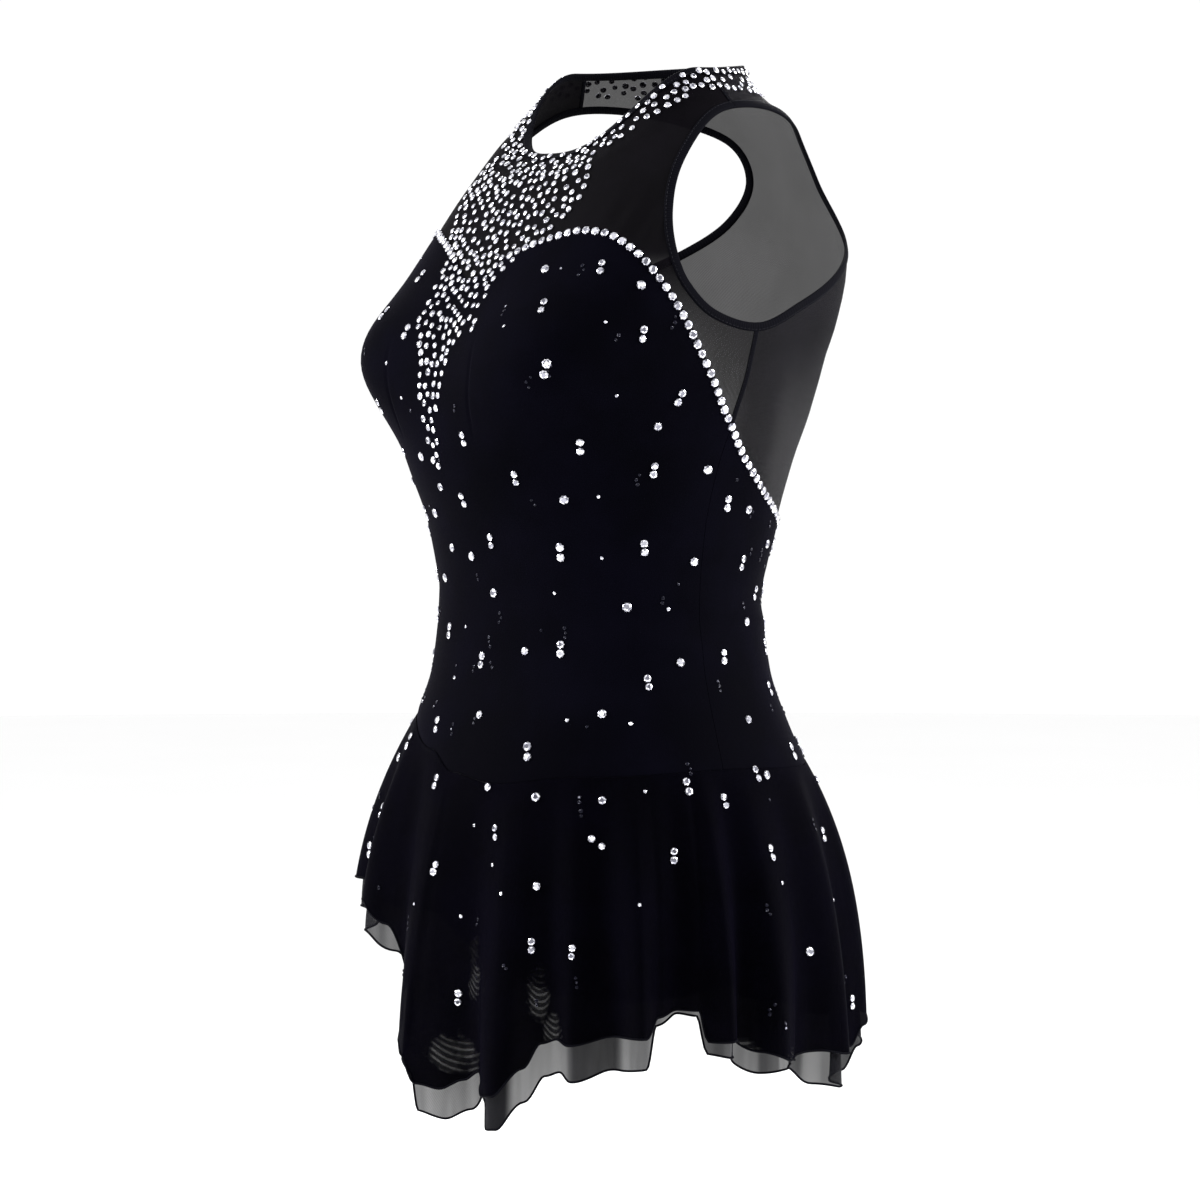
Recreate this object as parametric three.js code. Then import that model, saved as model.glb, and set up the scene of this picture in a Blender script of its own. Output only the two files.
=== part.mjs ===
// Figure skating dress, worn form with no wearer.
// Millimetres. +X is the wearer's left, -Y the front, +Z up.
// The origin lies midway between the shoulder seams, where the dress hangs on the wearer.
import * as THREE from "three";

const RAD = Math.PI / 180;

// Cloth thicknesses and the gap left at each seam
const GAP = 0.3;
const VELVET = 2.0;
const MESH = 1.2;
const BINDING = 2.0;
const CHIFFON = 1.6;
const BRIEFS = 1.2;
const NECK_BAND = 5.5;
const ARMHOLE_BAND = 6.0;

// Levels of the figure, one row each from the neckline down to the hip.
// run: way down the cloth; front, side, back: heights at centre front, side and centre back;
// half: half width; ahead, mid, behind: y at centre front, side and centre back;
// squareFront, squareBack: squareness of the plan curve, where 2 is an ellipse.
const LEVELS = [
  { run: 0, front: -37, side: 19, back: 23, half: 72, ahead: -92, mid: -24, behind: 46, squareFront: 2.0, squareBack: 2.0 },
  { run: 12, front: -45.3, side: 9.7, back: 9.9, half: 80, ahead: -101.2, mid: -21, behind: 50, squareFront: 2.4, squareBack: 2.0 },
  { run: 24, front: -53.7, side: 0.1, back: -3.3, half: 87.9, ahead: -110.1, mid: -18.4, behind: 63, squareFront: 2.7, squareBack: 2.0 },
  { run: 30, front: -58, side: -5, back: -10, half: 92, ahead: -114, mid: -18, behind: 76, squareFront: 2.8, squareBack: 2.0 },
  { run: 70, front: -88, side: -45, back: -56, half: 120, ahead: -134, mid: -18, behind: 101, squareFront: 2.8, squareBack: 2.1 },
  { run: 110, front: -118, side: -98, back: -103, half: 140, ahead: -153, mid: -20, behind: 109, squareFront: 2.9, squareBack: 2.2 },
  { run: 150, front: -150, side: -150, back: -150, half: 149, ahead: -171, mid: -26, behind: 94, squareFront: 2.6, squareBack: 2.2 },
  { run: 175, front: -175, side: -175, back: -175, half: 149, ahead: -178, mid: -32, behind: 83, squareFront: 2.35, squareBack: 2.2 },
  { run: 205, front: -205, side: -205, back: -205, half: 142, ahead: -183, mid: -38, behind: 76, squareFront: 2.1, squareBack: 2.2 },
  { run: 240, front: -240, side: -240, back: -240, half: 130, ahead: -178, mid: -44, behind: 69, squareFront: 2.0, squareBack: 2.1 },
  { run: 285, front: -285, side: -285, back: -285, half: 121, ahead: -162, mid: -49, behind: 60, squareFront: 2.0, squareBack: 2.0 },
  { run: 330, front: -330, side: -330, back: -330, half: 118, ahead: -154, mid: -51, behind: 48, squareFront: 2.0, squareBack: 2.0 },
  { run: 375, front: -375, side: -375, back: -375, half: 125, ahead: -157, mid: -51, behind: 52, squareFront: 2.0, squareBack: 2.0 },
  { run: 415, front: -415, side: -415, back: -415, half: 137, ahead: -170, mid: -50, behind: 66, squareFront: 2.0, squareBack: 2.0 },
  { run: 455, front: -455, side: -455, back: -455, half: 150, ahead: -178, mid: -48, behind: 88, squareFront: 2.0, squareBack: 2.0 },
];

// The two cups: a soft swelling on each side of the front
const CUP = { angle: 33, run: 172, height: 22, wide: 20, above: 40, below: 42 };

// Top edge of the velvet bodice, mirrored left to right: a point at centre front,
// the cup, then down round the side to a low back
const BODICE_EDGE = [
  { angle: 0, run: 113 },
  { angle: 6, run: 106 },
  { angle: 12, run: 95 },
  { angle: 18, run: 87 },
  { angle: 27, run: 81 },
  { angle: 36, run: 79.5 },
  { angle: 45, run: 86 },
  { angle: 54, run: 103 },
  { angle: 60, run: 119 },
  { angle: 69, run: 146 },
  { angle: 78, run: 177 },
  { angle: 90, run: 214 },
  { angle: 102, run: 238 },
  { angle: 117, run: 259 },
  { angle: 135, run: 274 },
  { angle: 156, run: 283 },
  { angle: 180, run: 287 },
];

// Armhole edge on the wearer's left, from the shoulder seam down the front,
// under the arm and up the cut-away back. Angle round the figure and run down the cloth.
const ARMHOLE = [
  { angle: 95.5, run: 33 },
  { angle: 85, run: 38.5 },
  { angle: 76, run: 48 },
  { angle: 67.5, run: 64 },
  { angle: 63.7, run: 86 },
  { angle: 64.5, run: 108 },
  { angle: 68.8, run: 127 },
  { angle: 77, run: 141.5 },
  { angle: 89, run: 147.5 },
  { angle: 105, run: 136.5 },
  { angle: 123, run: 122.5 },
  { angle: 138, run: 107.5 },
  { angle: 151, run: 90 },
  { angle: 159.5, run: 67 },
  { angle: 155.5, run: 47 },
  { angle: 137, run: 36 },
  { angle: 114, run: 31.5 },
];
const SHOULDER_SEAM = 95.5;
const SIDE_SEAM = 89;

// Seam where the skirt joins the bodice, higher on the wearer's right hip
const SKIRT_SEAM = [
  { angle: -180, run: 436 },
  { angle: -130, run: 428 },
  { angle: -90, run: 412 },
  { angle: -60, run: 406 },
  { angle: -36, run: 410 },
  { angle: -7, run: 428 },
  { angle: 5, run: 441 },
  { angle: 20, run: 446 },
  { angle: 45, run: 440 },
  { angle: 90, run: 436 },
  { angle: 130, run: 439 },
];

// Folds of the skirt, a ridge row and a valley row in turn.
// out: how far the hem stands out from its smooth ring.
const FOLDS = [
  { angle: -175, out: 9 },
  { angle: -164, out: -8 },
  { angle: -154, out: 9 },
  { angle: -143, out: -8 },
  { angle: -132, out: 9 },
  { angle: -121, out: -8 },
  { angle: -110, out: 9 },
  { angle: -99, out: -8 },
  { angle: -88, out: 9 },
  { angle: -77, out: -8 },
  { angle: -66, out: 9 },
  { angle: -55, out: -8 },
  { angle: -44, out: 12 },
  { angle: -33, out: -2 },
  { angle: -24, out: 7 },
  { angle: -12, out: -13 },
  { angle: 3, out: 11 },
  { angle: 17, out: -11 },
  { angle: 28, out: 12 },
  { angle: 39, out: -6 },
  { angle: 45, out: -1 },
  { angle: 52, out: -10 },
  { angle: 61, out: 8 },
  { angle: 66, out: -8 },
  { angle: 71, out: -15 },
  { angle: 76, out: -4 },
  { angle: 81, out: 10 },
  { angle: 87, out: -8 },
  { angle: 95, out: 9 },
  { angle: 108, out: -8 },
  { angle: 119, out: 8 },
  { angle: 129, out: -8 },
  { angle: 140, out: 7 },
  { angle: 152, out: -8 },
  { angle: 163, out: 9 },
  { angle: 174, out: -8 },
];

// Height of the skirt's hem round the figure, longest at the front and on the wearer's left.
// low: height of the under layer's hem; show: how much of the under layer hangs below the upper one.
const HEM_LINE = [
  { angle: -175, low: -614, show: 20 },
  { angle: -154, low: -606, show: 20 },
  { angle: -132, low: -592, show: 20 },
  { angle: -110, low: -575, show: 20 },
  { angle: -88, low: -561, show: 20 },
  { angle: -66, low: -548, show: 20 },
  { angle: -50, low: -541, show: 20 },
  { angle: -38, low: -541, show: 20 },
  { angle: -24, low: -551, show: 20 },
  { angle: -17, low: -561, show: 18 },
  { angle: -9, low: -600, show: 16 },
  { angle: -1, low: -630, show: 12 },
  { angle: 2.4, low: -636, show: 12 },
  { angle: 5, low: -661, show: 18 },
  { angle: 10, low: -665, show: 20 },
  { angle: 14, low: -661, show: 20 },
  { angle: 18, low: -651, show: 16 },
  { angle: 21, low: -652, show: 12 },
  { angle: 24.5, low: -667, show: 22 },
  { angle: 28, low: -666, show: 22 },
  { angle: 34, low: -650, show: 22 },
  { angle: 37.5, low: -633, show: 22 },
  { angle: 41, low: -630, show: 22 },
  { angle: 44, low: -637, show: 24 },
  { angle: 56, low: -626, show: 22 },
  { angle: 62, low: -624, show: 20 },
  { angle: 65, low: -598, show: 6 },
  { angle: 71, low: -591, show: 3 },
  { angle: 75.5, low: -594, show: 4 },
  { angle: 77.5, low: -618, show: 8 },
  { angle: 83, low: -622, show: 12 },
  { angle: 91, low: -631, show: 14 },
  { angle: 97, low: -628, show: 6 },
  { angle: 103, low: -627, show: 3 },
  { angle: 107, low: -632, show: 10 },
  { angle: 113, low: -643, show: 22 },
  { angle: 119, low: -648, show: 22 },
  { angle: 130, low: -643, show: 20 },
  { angle: 134, low: -637, show: 16 },
  { angle: 138, low: -622, show: 14 },
  { angle: 143, low: -618, show: 14 },
  { angle: 152, low: -618, show: 18 },
  { angle: 163, low: -616, show: 20 },
  { angle: 174, low: -615, show: 20 },
];

// Smooth ring of the skirt's hem, and how quickly the skirt springs out below its seam, quicker at the back
const HEM = { half: 175, front: 153, back: 158.5, mid: -46, spring: 2.4, lean: 0.6, fold: 1.1 };
const LAYER_APART = 3.4;

// Briefs, mirrored: one row for each step from the skirt seam down to the crotch.
// centre and edge: heights at the middle and at the leg edge; half: half width at the leg edge;
// middle and side: y at the middle and at the leg edge.
const BRIEFS_FRONT = [
  { step: 0, centre: -447, edge: -447, half: 142, middle: -170, side: -48.5 },
  { step: 1, centre: -476, edge: -474, half: 144, middle: -170, side: -48.5 },
  { step: 2, centre: -503, edge: -497, half: 143, middle: -165, side: -48.5 },
  { step: 3, centre: -530, edge: -522, half: 119, middle: -155, side: -92 },
  { step: 4, centre: -557, edge: -549, half: 88, middle: -139, side: -103 },
  { step: 5, centre: -581, edge: -575, half: 58, middle: -110, side: -89 },
  { step: 6, centre: -596, edge: -592, half: 39, middle: -78, side: -68 },
  { step: 7, centre: -601, edge: -598, half: 34, middle: -46, side: -46 },
];
const BRIEFS_BACK = [
  { step: 0, centre: -447, edge: -447, half: 142, middle: 76, side: -48.5 },
  { step: 1, centre: -476, edge: -474, half: 144, middle: 80, side: -48.5 },
  { step: 2, centre: -503, edge: -497, half: 143, middle: 80, side: -48.5 },
  { step: 3, centre: -533, edge: -525, half: 127, middle: 75, side: 2 },
  { step: 4, centre: -562, edge: -554, half: 104, middle: 61, side: 20 },
  { step: 5, centre: -585, edge: -580, half: 74, middle: 35, side: 12 },
  { step: 6, centre: -597, edge: -594, half: 45, middle: -3, side: -12 },
  { step: 7, centre: -601, edge: -598, half: 34, middle: -45.4, side: -45.4 },
];

// Where each half yoke reaches across: a place on its outer edge and the armhole row it is drawn from
const FRONT_YOKE = { neckStart: 0, neckEnd: 2.6, middle: 3.4 };
const FRONT_YOKE_EDGE = [
  { angle: 0, hole: 3.4 },
  { angle: 36, hole: 4.2 },
  { angle: 54, hole: 4.8 },
  { angle: 60, hole: 5.3 },
  { angle: 69, hole: 6.3 },
  { angle: 78, hole: 7.1 },
  { angle: 89, hole: 8 },
];
const BACK_YOKE = { neckStart: 17, neckEnd: 14.3, middle: 12.3 };
const BACK_YOKE_EDGE = [
  { angle: 89, hole: 8 },
  { angle: 102, hole: 8.9 },
  { angle: 117, hole: 9.7 },
  { angle: 135, hole: 10.6 },
  { angle: 156, hole: 11.5 },
  { angle: 180, hole: 12.3 },
];

// How finely each piece is divided
const ACROSS = 6;
const FRONT_STEPS = 5;
const BACK_STEPS = 11;
const YOKE_ROWS = 6;
const BODICE_ROWS = 10;
const SKIRT_ROWS = 6;
const BRIEFS_ROWS = 9;

// Smooth curve through one column of a table whose rows run in order of `key`
function along(rows, key, column, at) {
  const last = rows.length - 1;
  const x = Math.min(Math.max(at, rows[0][key]), rows[last][key]);
  let i = 0;
  while (i < last - 1 && rows[i + 1][key] <= x) i += 1;
  const slope = (a, b) => (rows[b][column] - rows[a][column]) / (rows[b][key] - rows[a][key]);
  const tangent = (k) => {
    if (k === 0) return slope(0, 1);
    if (k === last) return slope(last - 1, last);
    const before = slope(k - 1, k);
    const after = slope(k, k + 1);
    return before * after <= 0 ? 0 : (2 * before * after) / (before + after);
  };
  const span = rows[i + 1][key] - rows[i][key];
  const t = (x - rows[i][key]) / span;
  const u = 1 - t;
  return rows[i][column] * (1 + 2 * t) * u * u + tangent(i) * span * t * u * u
    + rows[i + 1][column] * t * t * (3 - 2 * t) - tangent(i + 1) * span * t * t * u;
}

// Soft wave through one column of a table of angles that goes all the way round
function round(rows, column, angle) {
  const first = rows[0].angle;
  const a = ((((angle - first) % 360) + 360) % 360) + first;
  let i = rows.length - 1;
  while (rows[i].angle > a) i -= 1;
  const next = rows[(i + 1) % rows.length];
  const end = i + 1 < rows.length ? next.angle : next.angle + 360;
  const t = (a - rows[i].angle) / (end - rows[i].angle);
  return rows[i][column] + (next[column] - rows[i][column]) * t * t * (3 - 2 * t);
}

// Point of the figure at an angle from the front, positive towards the wearer's left, and a run
function figure(angle, run) {
  const level = (column) => along(LEVELS, "run", column, run);
  const sin = Math.sin(angle * RAD);
  const cos = Math.cos(angle * RAD);
  const ahead = cos > 0;
  const n = level(ahead ? "squareFront" : "squareBack");
  const reach = (Math.abs(sin) ** n + Math.abs(cos) ** n) ** (-1 / n);
  const mid = level("mid");
  const depth = ahead ? mid - level("ahead") : level("behind") - mid;
  const x = level("half") * sin * reach;
  const y = -depth * cos * reach;
  const end = level(ahead ? "front" : "back");
  const z = end + (level("side") - end) * Math.abs(sin) ** 3;
  const turn = (Math.abs(((angle + 540) % 360) - 180) - CUP.angle) / CUP.wide;
  const drop = (run - CUP.run) / (run < CUP.run ? CUP.above : CUP.below);
  const grow = 1 + (CUP.height * Math.exp(-turn * turn - drop * drop)) / Math.hypot(x, y);
  return new THREE.Vector3(x * grow, mid + y * grow, z);
}

// Outward direction of any surface given as a function of two numbers
function outward(surface, a, b, stepA, stepB) {
  const along = surface(a + stepA, b).sub(surface(a - stepA, b));
  const down = surface(a, b + stepB).sub(surface(a, b - stepB));
  return down.cross(along).normalize();
}

// A point of the figure moved out along its own outward direction
function figureAt(angle, run, out) {
  const safe = Math.max(run, 0.6);
  return figure(angle, run).addScaledVector(outward(figure, angle, safe, 0.4, 0.5), out);
}

const edgeRun = (angle) => along(BODICE_EDGE, "angle", "run", Math.abs(((angle + 540) % 360) - 180));
const seamRun = (angle) => round(SKIRT_SEAM, "run", angle);

// How many degrees round the figure a length covers
function turnFor(length, angle, run) {
  return length / figure(angle + 0.5, run).distanceTo(figure(angle - 0.5, run));
}

// Closed body from grids of cloth points. A grid is rows of number pairs, the first going round towards
// the wearer's left and the second going down; inside and outside place a pair on the two faces.
function cloth(grids, inside, outside) {
  const found = new Map();
  const outer = [];
  const inner = [];
  const at = (pair) => {
    const point = outside(pair);
    const word = point.toArray().map((v) => Math.round(v * 500)).join(" ");
    if (!found.has(word)) {
      found.set(word, outer.length);
      outer.push(point);
      inner.push(inside(pair));
    }
    return { pair, id: found.get(word) };
  };
  const cells = [];
  const add = (a, b, c) => {
    if (a.id === b.id || b.id === c.id || c.id === a.id) return;
    const turn = (b.pair[0] - a.pair[0]) * (c.pair[1] - a.pair[1]) - (b.pair[1] - a.pair[1]) * (c.pair[0] - a.pair[0]);
    cells.push(turn < 0 ? [a.id, b.id, c.id] : [a.id, c.id, b.id]);
  };
  for (const rows of grids) {
    const nodes = rows.map((row) => row.map(at));
    for (let j = 0; j + 1 < nodes.length; j += 1) {
      for (let i = 0; i + 1 < nodes[j].length; i += 1) {
        const [a, b, c, d] = [nodes[j][i], nodes[j][i + 1], nodes[j + 1][i + 1], nodes[j + 1][i]];
        const across = outer[a.id].distanceTo(outer[c.id]) <= 1.001 * outer[b.id].distanceTo(outer[d.id]);
        add(a, b, across ? c : d);
        add(across ? a : b, c, d);
      }
    }
  }
  const count = outer.length;
  const faces = [];
  const sides = new Set();
  for (const [a, b, c] of cells) {
    faces.push(a, b, c, a + count, c + count, b + count);
    for (const side of [`${a} ${b}`, `${b} ${c}`, `${c} ${a}`]) sides.add(side);
  }
  for (const side of sides) {
    const [p, q] = side.split(" ").map(Number);
    if (!sides.has(`${q} ${p}`)) faces.push(q, p, p + count, q, p + count, q + count);
  }
  return { points: [...outer, ...inner], faces };
}

function solid(name, { points, faces }, color) {
  const geometry = new THREE.BufferGeometry();
  geometry.setAttribute("position", new THREE.Float32BufferAttribute(points.flatMap((p) => p.toArray()), 3));
  geometry.setIndex(faces);
  geometry.computeVertexNormals();
  const material = new THREE.MeshStandardMaterial({ color, roughness: 0.8, metalness: 0 });
  const mesh = new THREE.Mesh(geometry, material);
  mesh.name = name;
  return mesh;
}

// Wall of cloth on the figure, half its thickness to each side
function onFigure(grids, thickness) {
  const half = thickness / 2;
  return cloth(grids, (p) => figureAt(p[0], p[1], -half), (p) => figureAt(p[0], p[1], half));
}

const mirrored = (rows) => rows.map((row) => row.map(([angle, run]) => [-angle, run]));
const bothHalves = (rows) => [rows, mirrored(rows)];

// Angles of the columns from centre front to the side seam, and from there to centre back
function anglesBetween(from, to) {
  const angles = [from];
  for (let a = ACROSS * Math.ceil((from + 1) / ACROSS); a < to - 1; a += ACROSS) angles.push(a);
  return [...angles, to];
}

// Bodice between its top edge and the skirt seam, over a span of angles
function bodiceGrid(angles) {
  const rows = [];
  for (let j = 0; j <= BODICE_ROWS; j += 1) {
    rows.push(angles.map((angle) => {
      const top = edgeRun(angle);
      const bottom = seamRun(angle) - GAP;
      return [angle, top + ((bottom - top) * j) / BODICE_ROWS];
    }));
  }
  return rows;
}
const wholeRound = (half) => [...half.slice(1).reverse().map((a) => -a), ...half];

// The left armhole edge, moved into the cloth by a width. hole counts along the rows of ARMHOLE.
const ARMHOLE_CURVE = new THREE.CatmullRomCurve3(
  ARMHOLE.map((row) => new THREE.Vector3(row.angle, row.run, 0)), true, "centripetal");
function armholeAt(hole, width) {
  const t = hole / ARMHOLE.length;
  const here = ARMHOLE_CURVE.getPoint(t % 1);
  if (width === 0) return [here.x, here.y];
  const ahead = ARMHOLE_CURVE.getPoint((t + 0.004) % 1);
  const before = ARMHOLE_CURVE.getPoint((t + 0.996) % 1);
  const way = figure(ahead.x, ahead.y).sub(figure(before.x, before.y)).normalize();
  const away = way.cross(outward(figure, here.x, here.y, 0.4, 0.5)).normalize();
  const perAngle = figure(here.x + 0.5, here.y).sub(figure(here.x - 0.5, here.y));
  const perRun = figure(here.x, here.y + 0.5).sub(figure(here.x, here.y - 0.5));
  const aa = perAngle.dot(perAngle);
  const rr = perRun.dot(perRun);
  const ar = perAngle.dot(perRun);
  const onAngle = away.dot(perAngle) * width;
  const onRun = away.dot(perRun) * width;
  const whole = aa * rr - ar * ar;
  return [here.x + (onAngle * rr - onRun * ar) / whole, here.y + (onRun * aa - onAngle * ar) / whole];
}

// Half of a yoke: its outer edge runs from the shoulder seam along the neckline to the centre line,
// down the centre line and back along the bodice edge to the side seam.
function yokeHalf(centre, plan, edge) {
  const neck = NECK_BAND + GAP;
  const side = centre === 0 ? -1 : 1;
  const shoulder = SHOULDER_SEAM + side * turnFor(GAP / 2, SHOULDER_SEAM, 18);
  const underarm = SIDE_SEAM + side * turnFor(GAP / 2, SIDE_SEAM, 180);
  const low = edgeRun(centre) - GAP;
  const path = [];
  const neckAngles = anglesBetween(Math.min(SHOULDER_SEAM, centre), Math.max(SHOULDER_SEAM, centre));
  if (centre === 0) neckAngles.reverse();
  neckAngles.forEach((angle, i) => {
    const hole = plan.neckStart + ((plan.neckEnd - plan.neckStart) * i) / (neckAngles.length - 1);
    path.push({ angle: i === 0 ? shoulder : angle, run: neck, hole });
  });
  const steps = centre === 0 ? FRONT_STEPS : BACK_STEPS;
  for (let i = 1; i <= steps; i += 1) {
    const part = i / steps;
    path.push({ angle: centre, run: neck + (low - neck) * part, hole: plan.neckEnd + (plan.middle - plan.neckEnd) * part });
  }
  const edgeAngles = anglesBetween(Math.min(SIDE_SEAM, centre), Math.max(SIDE_SEAM, centre));
  if (centre !== 0) edgeAngles.reverse();
  edgeAngles.slice(1).forEach((angle, i, all) => {
    const last = i === all.length - 1;
    path.push({ angle: last ? underarm : angle, run: edgeRun(angle) - GAP * 1.3, hole: along(edge, "angle", "hole", angle) });
  });
  const rows = [];
  for (let j = 0; j <= YOKE_ROWS; j += 1) {
    const part = j / YOKE_ROWS;
    rows.push(path.map((place, i) => {
      const inner = armholeAt(place.hole, ARMHOLE_BAND + GAP);
      if (i === 0) inner[0] = shoulder;
      if (i === path.length - 1) inner[0] = underarm;
      const share = inner[1] / edgeRun(inner[0]);
      const angle = inner[0] + (place.angle - inner[0]) * part;
      return [angle, edgeRun(angle) * (share + (place.run / edgeRun(place.angle) - share) * part)];
    }));
  }
  return { rows, holes: path.map((place) => place.hole) };
}

// Skirt point at an angle and a fraction of the way down. under is 0 on the upper layer, 1 on the lower.
function skirt(angle, down, under) {
  const top = figure(angle, seamRun(angle));
  const sin = Math.sin(angle * RAD);
  const cos = Math.cos(angle * RAD);
  const depth = cos > 0 ? HEM.front : HEM.back;
  const spring = 1 - (1 - Math.min(down, 1)) ** (HEM.spring - HEM.lean * cos);
  const stand = round(FOLDS, "out", angle) * down ** HEM.fold - under * LAYER_APART * down;
  const x = top.x + (HEM.half * sin - top.x) * spring + sin * stand;
  const y = top.y + (HEM.mid - depth * cos - top.y) * spring - cos * stand;
  return new THREE.Vector3(x, y, top.z + (round(HEM_LINE, "low", angle) - top.z) * down);
}

// Point level with the bodice's lower edge, which is straight between its columns
const COLUMNS = wholeRound([...anglesBetween(0, SIDE_SEAM), ...anglesBetween(SIDE_SEAM, 180).slice(1)]);
function onSeam(angle, out) {
  const next = Math.max(1, COLUMNS.findIndex((a) => a >= angle));
  const [from, to] = [COLUMNS[next - 1], COLUMNS[next]];
  const start = figureAt(from, seamRun(from), out);
  return start.lerp(figureAt(to, seamRun(to), out), (angle - from) / (to - from));
}

function skirtLayer(under) {
  const angles = [];
  for (let i = 0; i + 1 < COLUMNS.length; i += 1) angles.push(COLUMNS[i], (COLUMNS[i] + COLUMNS[i + 1]) / 2);
  angles.push(180);
  const rows = [];
  for (let j = 0; j <= SKIRT_ROWS; j += 1) {
    rows.push(angles.map((angle) => {
      const drop = -seamRun(angle) - round(HEM_LINE, "low", angle);
      const end = under ? 1 : 1 - round(HEM_LINE, "show", angle) / drop;
      return [angle, end * (j / SKIRT_ROWS) ** 1.15];
    }));
  }
  const face = (offset) => ([angle, down]) => {
    if (down === 0) return onSeam(angle, offset);
    const level = new THREE.Vector3(Math.sin(angle * RAD), -Math.cos(angle * RAD), 0);
    const out = outward(figure, angle, seamRun(angle), 0.4, 0.5).lerp(level, Math.min(1, down / 0.2)).normalize();
    return skirt(angle, down, under).addScaledVector(out, offset);
  };
  const near = under ? -0.7 * GAP : 0.7 * GAP + CHIFFON;
  return cloth([rows], face(near - CHIFFON), face(near));
}

// Briefs: flat arcs from one leg edge to the other, joined to the skirt seam at the top
function briefsPiece(table, back) {
  const surface = (turn, step) => {
    const row = (column) => along(table, "step", column, step);
    const sin = Math.sin(turn * RAD) * (back ? -1 : 1);
    const cos = Math.cos(turn * RAD);
    const point = new THREE.Vector3(
      row("half") * sin,
      row("side") + (row("middle") - row("side")) * cos,
      row("edge") + (row("centre") - row("edge")) * cos);
    if (step >= 1) return point;
    const angle = back ? 180 + turn : turn;
    const under = 1.7 * GAP + CHIFFON;
    const ease = 1 - step * step * (3 - 2 * step);
    return point.lerp(figureAt(angle, seamRun(angle) + 40 * step, -under), ease);
  };
  const end = 90 - turnFor(GAP / 2, 90, 430);
  const rows = [];
  for (let j = 0; j <= BRIEFS_ROWS; j += 1) {
    const row = [];
    for (let k = -8; k <= 8; k += 1) row.push([(k * end) / 8, (7 * j) / BRIEFS_ROWS]);
    rows.push(row);
  }
  const inside = (p) => surface(p[0], p[1]).addScaledVector(outward(surface, p[0], Math.min(p[1], 6.9), 0.4, 0.05), -BRIEFS);
  return cloth([rows], inside, (p) => surface(p[0], p[1]));
}

function dress() {
  const group = new THREE.Group();
  group.name = "skating_dress";
  const sideTurn = turnFor(GAP / 2, SIDE_SEAM, 300);
  const frontAngles = wholeRound(anglesBetween(0, SIDE_SEAM)).map((a) => (Math.abs(a) === SIDE_SEAM ? a - Math.sign(a) * sideTurn : a));
  const backHalf = anglesBetween(SIDE_SEAM, 180).map((a) => (a === SIDE_SEAM ? a + sideTurn : a));
  const backAngles = [...backHalf, ...backHalf.slice(0, -1).reverse().map((a) => 360 - a)];
  const frontYoke = yokeHalf(0, FRONT_YOKE, FRONT_YOKE_EDGE);
  const backYoke = yokeHalf(180, BACK_YOKE, BACK_YOKE_EDGE);
  const neckAngles = wholeRound([...anglesBetween(0, SHOULDER_SEAM), ...anglesBetween(SHOULDER_SEAM, 180).slice(1)]);
  const neckRows = [neckAngles.map((a) => [a, 0]), neckAngles.map((a) => [a, NECK_BAND])];
  const holes = [...frontYoke.holes, ...backYoke.holes.slice(0, -1).reverse()];
  const bandRows = [ARMHOLE_BAND, 0].map((width) => holes.map((hole) => armholeAt(hole, width)));
  group.add(
    solid("bodice_front", onFigure([bodiceGrid(frontAngles)], VELVET), "#0b0b16"),
    solid("bodice_back", onFigure([bodiceGrid(backAngles)], VELVET), "#0b0b16"),
    solid("yoke_front", onFigure(bothHalves(frontYoke.rows), MESH), "#1d1d22"),
    solid("yoke_back", onFigure(bothHalves(backYoke.rows), MESH), "#1d1d22"),
    solid("neck_binding", onFigure([neckRows], BINDING), "#0d0d12"),
    solid("armhole_binding_left", onFigure([bandRows], BINDING), "#0d0d12"),
    solid("armhole_binding_right", onFigure([mirrored(bandRows)], BINDING), "#0d0d12"),
    solid("skirt_upper", skirtLayer(0), "#101018"),
    solid("skirt_lower", skirtLayer(1), "#26262c"),
    solid("briefs_front", briefsPiece(BRIEFS_FRONT, false), "#0b0b12"),
    solid("briefs_back", briefsPiece(BRIEFS_BACK, true), "#0b0b12"),
  );
  return group;
}

export default dress();
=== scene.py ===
import math
import random

import bpy
import numpy as np
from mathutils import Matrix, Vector


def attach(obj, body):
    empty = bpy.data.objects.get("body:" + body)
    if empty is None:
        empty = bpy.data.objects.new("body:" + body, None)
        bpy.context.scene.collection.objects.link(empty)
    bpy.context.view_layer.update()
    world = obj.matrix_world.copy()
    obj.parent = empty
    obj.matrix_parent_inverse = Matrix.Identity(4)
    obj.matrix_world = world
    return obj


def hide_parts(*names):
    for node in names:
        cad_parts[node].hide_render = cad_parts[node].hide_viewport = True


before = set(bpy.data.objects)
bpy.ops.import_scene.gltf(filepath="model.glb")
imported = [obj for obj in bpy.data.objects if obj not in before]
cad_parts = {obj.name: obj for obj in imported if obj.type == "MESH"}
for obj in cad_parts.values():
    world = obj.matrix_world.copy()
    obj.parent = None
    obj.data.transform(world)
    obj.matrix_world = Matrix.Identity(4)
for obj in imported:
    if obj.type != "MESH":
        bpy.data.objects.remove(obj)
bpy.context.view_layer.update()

bl_info = {
    "name": "Figure skating dress",
    "version": (1, 0, 0),
    "blender": (4, 5, 0),
    "location": "View3D > Sidebar > Dress",
    "description": "Cloth, bindings, stones and stage of a sleeveless skating dress, built round its frame",
    "category": "Object",
}

MM = 0.001

# Thicknesses of the cloth and the gap at a seam in millimetres, as in the frame
VELVET = 2.0
NET = 1.2
CHIFFON = 1.6
BINDING = 2.0
LYCRA = 1.2
GAP = 0.3

# Widths of the bindings, and how far in from a binding's inner edge its stitches run
NECK_BAND = 5.5
ARMHOLE_BAND = 6.0
SEWN_IN = 1.3
STITCH = {"pitch": 2.9, "length": 2.0, "radius": 0.17}

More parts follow.
